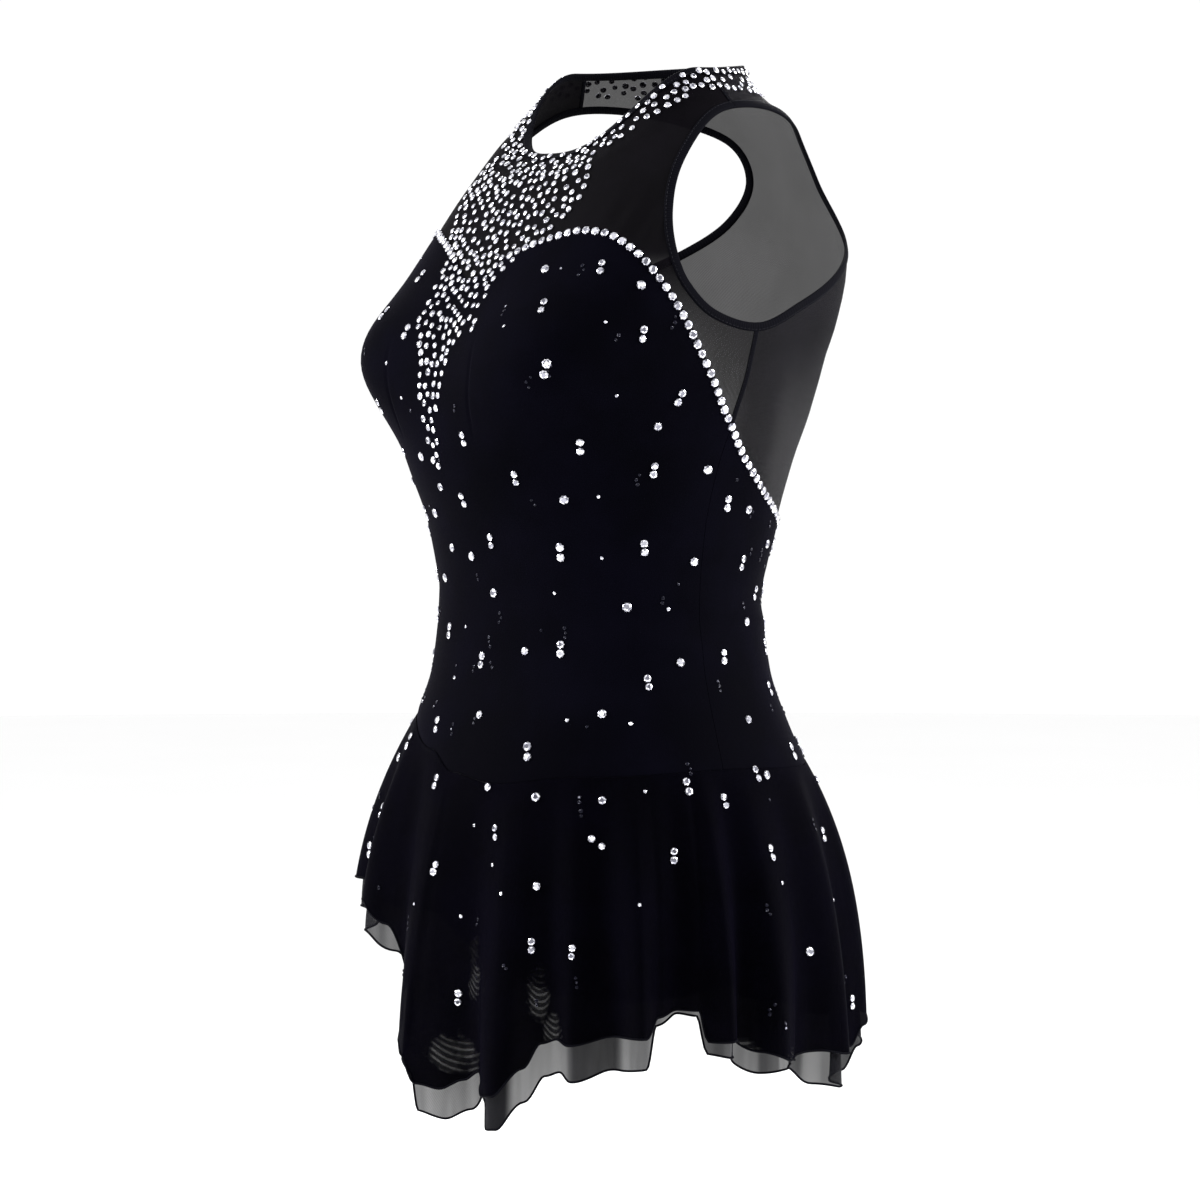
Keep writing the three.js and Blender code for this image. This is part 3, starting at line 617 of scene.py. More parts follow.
# Each piece of cloth: its slot, the solid it replaces, width and length of its cut in metres, the area of the
# cut, how it is held and on what it rests
CUTS = {
    "velvet_front": ("velvet", "bodice_front", (0.46, 0.40), 0.1349, "stretched", YOKE_PIECES),
    "velvet_back": ("velvet", "bodice_back", (0.34, 0.24), 0.0643, "stretched", YOKE_PIECES),
    "net_yoke_front": ("yoke_mesh", "yoke_front", (0.36, 0.17), 0.0320, "stretched", ["neck_binding"]),
    "net_yoke_back": ("yoke_mesh", "yoke_back", (0.40, 0.31), 0.0855, "stretched", ["neck_binding"]),
    "skirt_over_layer": ("skirt_mesh", "skirt_upper", (1.06, 0.23), 0.1705, "gathered", VELVET_PIECES),
    "skirt_under_layer": ("skirt_mesh", "skirt_lower", (1.08, 0.25), 0.1870, "gathered", VELVET_PIECES),
    "briefs_front_panel": ("lycra", "briefs_front", (0.45, 0.20), 0.0602, "stretched", VELVET_PIECES),
    "briefs_back_panel": ("lycra", "briefs_back", (0.45, 0.20), 0.0639, "stretched", VELVET_PIECES),
}


def mount(piece, slot, *nodes):
    """Fixes a finished piece to the frame."""
    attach(piece, "root")
    if nodes:
        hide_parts(*nodes)


def mount_cloth(name, piece, **more):
    """Fixes a finished piece of cloth to the frame and hides the solid it replaces."""
    slot, node, flat, area, held, rests_on = CUTS[name]
    mount(piece, slot, node)


# Finishes

class Socket:
    """One shader socket that takes part in sums, so that a mask can be written as an expression."""

    def __init__(self, finish, socket):
        self.finish, self.socket = finish, socket

    def maths(self, operation, *values):
        return self.finish.node("ShaderNodeMath", {"operation": operation}, dict(enumerate(values)))

    def __add__(self, other):
        return self.maths("ADD", self, other)

    def __radd__(self, other):
        return self.maths("ADD", other, self)

    def __sub__(self, other):
        return self.maths("SUBTRACT", self, other)

    def __rsub__(self, other):
        return self.maths("SUBTRACT", other, self)

    def __mul__(self, other):
        return self.maths("MULTIPLY", self, other)

    def __rmul__(self, other):
        return self.maths("MULTIPLY", other, self)

    def __truediv__(self, other):
        return self.maths("DIVIDE", self, other)

    def sine(self):
        return self.maths("SINE", self)

    def between(self, low, high):
        """0 below low, 1 above high, and a soft step from one to the other."""
        return self.finish.node("ShaderNodeMapRange", {"interpolation_type": "SMOOTHSTEP"},
                                {"Value": self, "From Min": low, "From Max": high})


class Finish:
    """A material with one Principled shader."""

    def __init__(self, name, **uniform):
        self.material = bpy.data.materials.new(name)
        self.material.use_nodes = True
        self.tree = self.material.node_tree
        self.shader = next(n for n in self.tree.nodes if n.type == "BSDF_PRINCIPLED")
        for socket, value in uniform.items():
            self.shader.inputs[socket.replace("_", " ").title().replace("Ior", "IOR")].default_value = value

    def node(self, kind, settings=None, inputs=None, output=0):
        """One node with its settings, and with values or links at its sockets."""
        made = self.tree.nodes.new(kind)
        for key, value in (settings or {}).items():
            if key == "stops":
                ramp = made.color_ramp
                while len(ramp.elements) < len(value):
                    ramp.elements.new(0.5)
                for element, (place, colour) in zip(ramp.elements, value):
                    element.position, element.color = place, colour
            else:
                setattr(made, key, value)
        for key, value in (inputs or {}).items():
            if isinstance(value, Socket):
                self.tree.links.new(value.socket, made.inputs[key])
            else:
                made.inputs[key].default_value = value
        return Socket(self, made.outputs[output])

    def feed(self, name, value):
        self.tree.links.new(value.socket, self.shader.inputs[name])

    def noise(self, scale, detail=2.0, rough=0.5, stretch=None):
        place = self.node("ShaderNodeTexCoord", output="Object")
        if stretch:
            place = self.node("ShaderNodeVectorMath", {"operation": "MULTIPLY"}, {0: place, 1: stretch})
        values = {"Vector": place, "Scale": scale, "Detail": detail, "Roughness": rough}
        return self.node("ShaderNodeTexNoise", {}, values)

    def colours(self, factor, first, second):
        """A mix of two colours. The Mix node's sockets for colours are 6 and 7, and 2 on its other side."""
        values = {"Factor": factor, 6: (*first, 1), 7: (*second, 1)}
        return self.node("ShaderNodeMix", {"data_type": "RGBA"}, values, 2)

    def place(self, space, *axes):
        """Coordinates in the object or on the cloth, in metres."""
        place = self.node("ShaderNodeTexCoord", output=space)
        return [self.node("ShaderNodeSeparateXYZ", {}, {0: place}, axis) for axis in axes]

    def threads(self, pitch):
        """Waves along and across the cloth, one for each thread."""
        return [(axis * (2 * math.pi / pitch)).sine() for axis in self.place("UV", "X", "Y")]

    def finished(self, colour, rough, height=None, depth=0.0):
        """The material, once its colour, its roughness and the height of its surface are fed."""
        self.feed("Base Color", colour)
        self.feed("Roughness", rough)
        if height is not None:
            values = {"Height": height, "Strength": 1.0, "Distance": depth}
            self.feed("Normal", self.node("ShaderNodeBump", {}, values, "Normal"))
        return self.material


FINISHES = {}


def finish(name):
    """A finish by name, made the first time it is asked for."""
    if name not in FINISHES:
        FINISHES[name] = MAKERS[name]()
    return FINISHES[name]


def velvet_finish():
    dark = tuple(bpy.context.scene.dress_cloth.velvet)
    f = Finish("stretch_velvet", specular_ior_level=0.008, sheen_weight=0.013, sheen_roughness=0.3,
               sheen_tint=(0.5, 0.45, 0.8, 1))
    patches, pile = f.noise(16, 3, 0.55), f.noise(1500, 2, 0.6)
    mottle = (patches * 0.75 + pile * 0.25).between(0.35, 0.7)
    return f.finished(f.colours(mottle, dark, [c * 2.1 for c in dark]), 0.62 + patches * 0.2 + pile * 0.12,
                      pile * 0.8 + f.noise(420, 2, 0.5) * 0.6, 0.00016)


def lining_finish():
    f = Finish("velvet_knit_back", specular_ior_level=0.05, sheen_weight=0.01)
    u, v = f.threads(0.0011)
    rib = (u * 0.5 + 0.5) * (0.6 + 0.4 * (v * 0.5 + 0.5))
    colour = f.colours(rib.between(0.1, 0.9), (0.004, 0.004, 0.007), (0.012, 0.012, 0.018))
    return f.finished(colour, 0.7 + 0.2 * f.noise(300), rib, 0.0001)


def net_finish(name, cover, pitch, tone, sheen, gloss, tint=(0.6, 0.57, 0.8), changes=()):
    """Sheer knitted net: a staggered pattern of small holes over an even cover.

    Each change takes the finish and the share of light that the net lets through, and gives the new share.
    """
    f = Finish(name, specular_ior_level=gloss, sheen_weight=sheen, sheen_roughness=0.45,
               sheen_tint=(*tint, 1))
    u, v = f.threads(pitch)
    hole = (u * v * 0.5 + 0.5).between(0.15, 0.95)
    patches = f.noise(24, 3, 0.6)
    open_share = 1 - cover
    for change in changes:
        open_share = change(f, open_share)
    f.feed("Alpha", 1 - open_share * (0.45 + 1.1 * hole) * (0.82 + 0.36 * patches))
    colour = f.colours(patches.between(0.35, 0.7), tone, [1.7 * c for c in tone])
    return f.finished(colour, 0.55 + 0.25 * patches, 1 - hole, 0.00008)


def thinned(start, end, lost, aside):
    """Net that is stretched thin from one height down to another, away from the middle of the dress."""
    def change(f, open_share):
        x, z = f.place("Object", "X", "Z")
        slack = f.noise(11, 2, 0.5, stretch=(1.0, 1.0, 0.5)).between(0.3, 0.7)
        sides = (x * x).between(aside**2, (aside + 0.035) ** 2)
        return open_share + (1 - z.between(end, start)) * sides * (lost * (0.7 + 0.6 * slack))
    return change


def doubled(f, open_share):
    """The hem of the under layer where it is folded over on itself."""
    turn = f.place("UV", "X")[0] / (SKIRT_DEGREE * MM)
    for middle, half, share in FOLDED_OVER:
        far = (turn - middle) / half
        open_share = open_share * (1 - share * (1 - (far * far).between(0.5, 1.3)))
    return open_share


def parted(f, open_share):
    """Places where the folds of the over layer part, so that the layer below shows in fine ripples."""
    u, v = f.place("UV", "X", "Y")
    turn, down = u / (SKIRT_DEGREE * MM), v / MM
    patches, frayed = f.noise(24, 3, 0.6), f.noise(70, 3, 0.6)
    for middle, depth, half, tall, share in GLIMPSES:
        aside, below = (turn - middle) / half, (down - depth) / tall
        bend = aside * aside
        waves = (down + 5 * bend - 3 * aside + 5 * patches) * (2 * math.pi / RIPPLE)
        near = 1 - (bend + below * below + 4.5 * (frayed - 0.5)).between(0.05, 1.15)
        open_share = open_share + share * near * (0.14 + 0.86 * waves.sine().between(-0.1, 1.0))
    return open_share


def gathered(f, open_share):
    """Upright streaks where the under layer is gathered."""
    streaks = f.noise(75, 2, 0.5, stretch=(1.0, 1.0, 0.1)).between(0.3, 0.7)
    return open_share * (1 - STREAKS + 2 * STREAKS * streaks)


def binding_finish():
    f = Finish("elastic_binding", specular_ior_level=0.012, sheen_weight=0.003, sheen_roughness=0.4)
    rib = (f.threads(0.0014)[0] * 0.5 + 0.5).between(0.1, 0.9)
    patches = f.noise(60, 2, 0.5)
    colour = f.colours(rib * 0.6 + patches * 0.4, (0.0008, 0.0008, 0.0014), (0.0028, 0.0028, 0.0045))
    return f.finished(colour, 0.55 + 0.3 * patches, rib, 0.00012)


def thread_finish():
    f = Finish("black_thread", specular_ior_level=0.08)
    twist = f.noise(2400, 1, 0.4)
    colour = f.colours(twist.between(0.3, 0.7), (0.0015, 0.0015, 0.0025), (0.008, 0.008, 0.012))
    return f.finished(colour, 0.4 + 0.3 * twist, twist, 0.00005)


def lycra_finish():
    f = Finish("briefs_lycra", specular_ior_level=0.15, sheen_weight=0.01)
    u, v = f.threads(0.0009)
    knit = (u * 0.5 + 0.5) * 0.6 + (v * 0.5 + 0.5) * 0.4
    patches = f.noise(30, 2, 0.5)
    colour = f.colours(patches.between(0.3, 0.7), (0.0035, 0.0035, 0.006), (0.009, 0.009, 0.015))
    return f.finished(colour, 0.42 + 0.2 * patches + 0.05 * knit, knit, 0.00008)


def stone_finish(name, painted_glints, metallic, rough, coat):
    """Cut stone: each facet takes its own grey from the ramp at random, partly the stone's own colour and
    partly painted reflections and glints. Each stop on the ramp is a place, its grey and its blue.
    """
    f = Finish(name, metallic=metallic, specular_ior_level=0.5 * coat, coat_weight=coat, coat_roughness=0.03)
    facet = f.node("ShaderNodeNewGeometry", output="Random Per Island")
    stops = [(place, (grey, grey, blue, 1)) for place, grey, blue in painted_glints]
    colour = f.node("ShaderNodeValToRGB", {"stops": stops}, {0: facet}, "Color")
    return f.finished(colour, rough + 0.08 * f.noise(900, 1, 0.4))


# Clear stones: facet greys from near black to white, painted reflections of light and dark around each stone,
# over the stone's own faint blue
CLEAR_PAINTED_REFLECTIONS = [(0, 0.05, 0.07), (0.22, 0.17, 0.21), (0.5, 0.42, 0.48), (0.75, 0.68, 0.74), (1, 0.97, 1)]
# Jet stones: near black, their own colour, with a painted glint on the few brightest facets
JET_PAINTED_GLINTS = [(0, 0.002, 0.004), (0.8, 0.006, 0.012), (0.95, 0.03, 0.04), (1, 0.3, 0.35)]

MAKERS = {
    "velvet": velvet_finish,
    "velvet back": lining_finish,
    "front net": lambda: net_finish(
        "yoke_net_front", 0.9975, 0.0011, (0.0010, 0.0008, 0.0013), 0.003, 0.012,
        changes=[thinned(-0.1, -0.165, 0.45, 0.07)]),
    "back net": lambda: net_finish(
        "yoke_net_back", 0.895, 0.0011, (0.002, 0.0018, 0.0026), 0.004, 0.015,
        changes=[thinned(-0.15, -0.225, 0.115, 0.0)]),
    "over net": lambda: net_finish(
        "skirt_over_chiffon", 0.995, 0.0009, (0.0003, 0.00025, 0.0008), 0.006, 0.005,
        tint=(0.42, 0.36, 0.8), changes=[parted]),
    "under net": lambda: net_finish(
        "skirt_under_chiffon", 0.86, 0.0009, (0.002, 0.002, 0.003), 0.006, 0.02,
        changes=[doubled, gathered]),
    "binding": binding_finish,
    "thread": thread_finish,
    "lycra": lycra_finish,
    "clear stone": lambda: stone_finish("clear_rhinestone_painted_reflections", CLEAR_PAINTED_REFLECTIONS, 0.85, 0.06, 0.7),
    "jet stone": lambda: stone_finish("jet_rhinestone_painted_glints", JET_PAINTED_GLINTS, 0.1, 0.1, 0.05),
}


# Stones

def stone_shape():
    """Corners of each facet of a round cut stone with a flat back and a radius of 1."""
    def ring(radius, height, turn):
        sin, cos = sin_cos(np.arange(8) * 45 + turn)
        return np.stack([radius * cos, radius * sin, np.full(8, height)], -1)

    base, girdle, crown, table = (ring(*row) for row in STONE_RINGS)
    facets = []
    for i in range(8):
        k = (i + 1) % 8
        facets += [
            [base[i], base[k], girdle[k], girdle[i]], [girdle[i], girdle[k], crown[i]],
            [crown[i], girdle[k], crown[k]], [crown[i], crown[k], table[k]], [table[i], crown[i], table[k]],
        ]
    return facets + [list(table)]


def stones(name, places, normals, radii, finish_name):
    """One object that holds a stone at each place."""
    rng = random.Random(STONE_SEED)
    facets = stone_shape()
    corners = np.concatenate([np.array(f) for f in facets])
    points, faces, start = [], [], 0
    for place, normal, radius in zip(places, normals, radii):
        up = np.array([0.0, 0.0, 1.0]) if abs(normal[2]) < 0.9 else np.array([0.0, 1.0, 0.0])
        side = unit(np.cross(up, normal))
        high = np.cross(normal, side)
        lean = rng.uniform(0, 2 * math.pi)
        tilt = unit(normal + side * rng.gauss(0, STONE_TILT) + high * rng.gauss(0, STONE_TILT))
        a = unit(np.cross(high * math.cos(lean) + side * math.sin(lean), tilt))
        b = np.cross(tilt, a)
        points.append(place + radius * (corners[:, :1] * a + corners[:, 1:2] * b + corners[:, 2:] * tilt))
        for facet in facets:
            faces.append(tuple(range(start, start + len(facet))))
            start += len(facet)
    return make_object(name, np.concatenate(points), faces, [finish(finish_name)], smooth=False)


def on_cloth(angle, run):
    """Places and normals on the outer face of the velvet or the net of the front and back."""
    angle, run = arrays(angle, run)
    on_velvet = run > edge_run(angle)
    out = np.where(on_velvet, VELVET / 2, NET / 2)
    out = np.where(run < NECK_BAND + 1.5, BINDING / 2 + 0.3, out)
    place = np.where(on_velvet[..., None], velvet_at(angle, run, out), form_at(angle, run, out))
    return place, outward(form, angle, np.maximum(run, 0.8))


def on_skirt(angle, down):
    """Places and normals on the over layer of the skirt."""
    def surface(a, d):
        return skirt_at(a, d, 0, LAYER_OUT)
    angle, down = arrays(angle, down)
    normal = outward(surface, angle, np.maximum(down, 0.02), 0.5, 0.01)
    return surface(angle, down) + normal * 0.15, normal


def panel_half(run):
    """Half width of the beaded panel, in degrees."""
    return float(along(BEADED_PANEL["run"], BEADED_PANEL["half"], run))


def spread(tries, draw, taken):
    """Places drawn one after another and kept clear of those taken. draw gives angle, run and a width."""
    drawn = np.array([draw() for _ in range(tries)])
    points = form(drawn[:, 0], drawn[:, 1])
    kept = len(taken)
    place, width = np.zeros((kept + tries, 3)), np.zeros(kept + tries)
    place[:kept], width[:kept] = [p for p, _ in taken], [w for _, w in taken]
    found = []
    for (angle, run, need), point in zip(drawn, points):
        off = place[:kept] - point
        if ((off * off).sum(1) > ((need + width[:kept]) / 2) ** 2).all():
            place[kept], width[kept] = point, need
            kept += 1
            taken.append((point, need))
            found.append((angle, run))
    return found


class DressCloth(bpy.types.PropertyGroup):
    """Sizes and colours of the cloth."""

    velvet: bpy.props.FloatVectorProperty(
        name="Velvet", description="Darkest colour of the velvet", subtype="COLOR", size=3,
        default=(0.0005, 0.00045, 0.0012), min=0, max=1)
    step: bpy.props.FloatProperty(
        name="Cloth step", description="Distance between the rows of the cloth's mesh, in millimetres",
        default=5.0, min=2.0, max=12.0)


class DressStones(bpy.types.PropertyGroup):
    """Sizes of the stones."""

    panel_size: bpy.props.FloatProperty(
        name="Panel stones", description="Diameter of the stones of the beaded panel",
        default=0.0046, min=0.002, max=0.008, unit="LENGTH", subtype="DISTANCE")
    edge_size: bpy.props.FloatProperty(
        name="Edge stones", description="Diameter of the stones along the bodice's edge",
        default=0.0060, min=0.003, max=0.009, unit="LENGTH", subtype="DISTANCE")
    scatter_size: bpy.props.FloatProperty(
        name="Scattered stones", description="Diameter of the stones scattered over velvet and skirt",
        default=0.0057, min=0.002, max=0.009, unit="LENGTH", subtype="DISTANCE")


class DressStage(bpy.types.PropertyGroup):
    """Floor, light and camera."""

    floor: bpy.props.FloatVectorProperty(
        name="Floor", description="Colour of the floor", subtype="COLOR", size=3,
        default=(0.93, 0.93, 0.93), min=0, max=1)
    drop: bpy.props.FloatProperty(
        name="Floor height", description="Height of the floor below the origin",
        default=-1.05, min=-2, max=-0.7, unit="LENGTH", subtype="DISTANCE")
    distance: bpy.props.FloatProperty(
        name="Camera distance", description="Distance from the camera to the dress",
        default=4.0, min=1, max=10, unit="LENGTH", subtype="DISTANCE")


class DRESS_OT_bodice(bpy.types.Operator):
    """Velvet front and back, with the dart under each cup and soft creases at the waist"""

    bl_idname = "dress.bodice"
    bl_label = "Bodice"

    def execute(self, context):
        side = turn_for(GAP / 2, SIDE_SEAM, 300)
        part = np.linspace(0, 1, int(330 / context.scene.dress_cloth.step) + 1)[:, None]
        for name, middle in (("velvet_front", 0), ("velvet_back", 180)):
            reach = abs(middle - SIDE_SEAM) - side
            angle = np.linspace(middle - reach, middle + reach, 241)
            if name == "velvet_front":
                fine = [a + d for a in (-DART["angle"], DART["angle"]) for d in np.linspace(-1.6, 1.6, 9)]
                angle = np.unique(np.concatenate([angle, fine]))
            top, low = edge_run(angle), seam_run(angle) - GAP
            run = top + (low - top) * part
            turned = np.broadcast_to(angle, run.shape)
            ends = np.minimum(part, 1 - part) * (low - top)
            fold = 0.55 * np.exp(-((ends / 1.6) ** 2))
            outer = velvet_at(turned, run, VELVET / 2 - fold)
            inner = velvet_at(turned, run, -VELVET / 2 + fold)
            uv = np.stack([turned * VELVET_DEGREE, run], -1)
            mount_cloth(name, shell(name, outer, inner, uv, [finish("velvet"), finish("velvet back")]))
        return {"FINISHED"}


class DRESS_OT_yoke(bpy.types.Operator):
    """Sheer net of the front and back yoke"""

    bl_idname = "dress.yoke"
    bl_label = "Yoke"

    def execute(self, context):
        plans = {
            "net_yoke_front": (0, FRONT_YOKE, FRONT_YOKE_EDGE, "front net"),
            "net_yoke_back": (180, BACK_YOKE, BACK_YOKE_EDGE, "back net"),
        }
        for name, (centre, plan, edge, look) in plans.items():
            half = yoke_half(centre, plan, edge, 22)
            grids, uvs, flips = [], [], []
            for side in (1, -1):
                angle, run = half[..., 0] * side, half[..., 1]
                grids.append(self.cloth(angle, run))
                uvs.append(np.stack([angle * NET_DEGREE, run], -1))
                flips.append((centre == 0) == (side > 0))
            mount_cloth(name, sheer(name, grids, uvs, finish(look), flips))
        low = np.linspace(ARMHOLE.rows[8, 1] + 3, float(edge_run(SIDE_SEAM)) + 1.5, 40)
        high = np.linspace(NECK_BAND - 1, ARMHOLE.rows[0, 1] - 3, 20)
        for side, word in ((1, "left"), (-1, "right")):
            self.seam(f"underarm_seam_{word}", np.full(40, SIDE_SEAM * side), low, 1.9)
            self.seam(f"shoulder_seam_{word}", np.full(20, SHOULDER_SEAM * side), high, 1.5)
        return {"FINISHED"}

    def seam(self, name, angle, run, half):
        """A seam where two nets meet, bound with a narrow tape and stitched down on both sides."""
        normal = outward(form, angle, run)
        tape = tube(name, form_at(angle, run, 0.15), half, normal, closed=False, sides=12, squash=0.38)
        mount(tape, "binding")
        turn = (half - 0.55) / np.linalg.norm(form(angle + 0.5, run) - form(angle - 0.5, run), axis=-1)
        rows = [form_at(angle + k * turn, run, 0.15 + half * 0.27) for k in (-1, 1)]
        mount(stitches(name + "_stitches", rows, [normal, normal], closed=False), "binding")

    def cloth(self, angle, run):
        """The net with the soft folds that run from the armhole towards the cup."""
        turn = folded(angle)
        slack = np.exp(-(((turn - 54) / 9) ** 2) - (((run - 92) / 26) ** 2))
        folds = 0.9 * slack * np.sin((turn * 1.5 + run * 0.55) * 0.42)
        return form_at(angle, run, folds)


class DRESS_OT_bindings(bpy.types.Operator):
    """Elastic bindings of the neckline and armholes"""

    bl_idname = "dress.bindings"
    bl_label = "Bindings"

    def execute(self, context):
        around = np.arange(-180.0, 180.0)
        self.band("neck_band", lambda width: (around, NECK_BAND - width), NECK_BAND, "neck_binding")
        self.sew("neck_band_stitches", around, NECK_BAND - SEWN_IN)
        hole = np.linspace(0, len(ARMHOLE.rows), 260, endpoint=False)
        for side, name in ((1, "left"), (-1, "right")):
            def edge(width, side=side):
                place = armhole_at(hole, width)
                return place[:, 0] * side, place[:, 1]
            self.band(f"armhole_band_{name}", edge, ARMHOLE_BAND, f"armhole_binding_{name}", flip=side < 0)
            self.sew(f"armhole_band_{name}_stitches", *edge(ARMHOLE_BAND - SEWN_IN))
        return {"FINISHED"}

    def sew(self, name, angle, run):
        """One row of stitches on a band, near its inner edge."""
        line = form_at(angle, run, BINDING / 2 + 0.08)
        mount(stitches(name, [line], [outward(form, angle, np.maximum(run, 0.6))]), "binding")

    def band(self, name, edge, wide, node, flip=False):
        """A folded band with rounded edges, from its edge line into the cloth."""
        sides = 16
        t = np.linspace(0, 2 * math.pi, sides, endpoint=False)
        across = (1 + np.sign(np.cos(t)) * np.abs(np.cos(t)) ** 0.55) / 2
        high = np.sign(np.sin(t)) * np.abs(np.sin(t)) ** 0.7
        rings = (form_at(*edge(wide * part), out * (BINDING / 2 + 0.15)) for part, out in zip(across, high))
        grid = np.stack(list(rings))
        length, width = np.linspace(0, 450, grid.shape[1]), np.linspace(0, 14, sides + 1)[:-1, None]
        uv = np.stack(arrays(length, width), -1)
        faces = grid_faces(sides, grid.shape[1], flip=flip, closed=True, joined=True)
        piece = make_object(name, grid.reshape(-1, 3), faces, [finish("binding")], uv=uv.reshape(-1, 2))
        mount(piece, "binding", node)


class DRESS_OT_skirt(bpy.types.Operator):
    """Two sheer layers of the skirt with their rolled hems"""

    bl_idname = "dress.skirt"
    bl_label = "Skirt"

    def execute(self, context):
        angle = np.linspace(-180, 180, 721)[:-1]
        part = np.linspace(0, 1, 46)[:, None]
        for name, layer, under in (("skirt_over_layer", "over", 0), ("skirt_under_layer", "under", 1)):
            down = skirt_end(angle, under) * part**1.15
            turned = np.broadcast_to(angle, down.shape)
            grid = skirt_at(turned, down, under, -LAYER_OUT if under else LAYER_OUT)
            uv = np.stack([turned * SKIRT_DEGREE, down * skirt_drop(angle)], -1)
            faces, net = grid_faces(*down.shape, closed=True), [finish(f"{layer} net")]
            piece = make_object(name, grid.reshape(-1, 3), faces, net, uv=uv.reshape(-1, 2))
            hem = tube(f"hem_roll_{layer}", grid[-1], 0.75, level_out(angle))
            mount(hem, "skirt_mesh")
            mount_cloth(name, piece, with_pieces=[hem])
        return {"FINISHED"}


class DRESS_OT_briefs(bpy.types.Operator):
    """Briefs under the skirt"""

    bl_idname = "dress.briefs"
    bl_label = "Briefs"

    def execute(self, context):
        end = 90 - turn_for(GAP / 2, 90, 430)
        turn, step = np.meshgrid(np.linspace(-end, end, 65), np.linspace(0, 7, 57))
        for word, table in (("front", BRIEFS_FRONT), ("back", BRIEFS_BACK)):
            name = f"briefs_{word}_panel"

            def surface(a, b, table=table, back=word == "back"):
                return briefs(table, back, a, b)

            outer = surface(turn, step)
            inner = outer - outward(surface, turn, np.clip(step, 0.1, 6.9), 0.4, 0.05) * LYCRA
            uv = np.stack([turn * NET_DEGREE, step * 28], -1)
            mount_cloth(name, shell(name, outer, inner, uv, [finish("lycra")]))
        return {"FINISHED"}


class DRESS_OT_stone_trim(bpy.types.Operator):
    """Beaded panel, neckline stones and the row of stones along the bodice's edge"""

    bl_idname = "dress.stone_trim"
    bl_label = "Stone trim"

    def execute(self, context):
        sizes = context.scene.dress_stones
        rng = random.Random(11)
        edge = self.edge_row(sizes.edge_size / MM)
        taken = [(form(a, r), 6.0) for a, r in edge]

        def by_neck():
            return rng.uniform(-180, 180), rng.uniform(3.2, 20), rng.uniform(5.0, 6.4)

        def in_panel():
            run = rng.uniform(12, 241) if rng.random() < 0.5 else rng.uniform(12, 120)
            half = panel_half(run)
            return rng.uniform(-half, half), run, rng.uniform(5.4, 6.6)

        neck = spread(4200, by_neck, taken)
        panel = spread(9000, in_panel, taken)
        self.place("neckline_stones", neck, [rng.uniform(2.0, 2.5) for _ in neck])
        for name, places, low, high, size in (
            ("beaded_front", panel, 0.85, 1.15, sizes.panel_size),
            ("edge_stones", edge, 0.94, 1.05, sizes.edge_size),
        ):
            self.place(name, places, [rng.uniform(low, high) * size / MM / 2 for _ in places])
        return {"FINISHED"}

    def place(self, name, places, radii):
        angle, run = np.array(places).T
        point, normal = on_cloth(angle, run)
        mount(stones(name, point, normal, radii, "clear stone"), None)

    def edge_row(self, size):
        """Stones edge to edge along the top of the velvet, outside the beaded panel."""
        angle = np.linspace(15, 345, 6000)
        line = form(angle, edge_run(angle) + 2.6)
        far = lengths(line)
        count = int(far[-1] / (size + 0.9))
        at = np.interp(np.linspace(0, far[-1], count), far, angle)
        return [(a - 360 if a > 180 else a, float(edge_run(a)) + 2.6) for a in at]


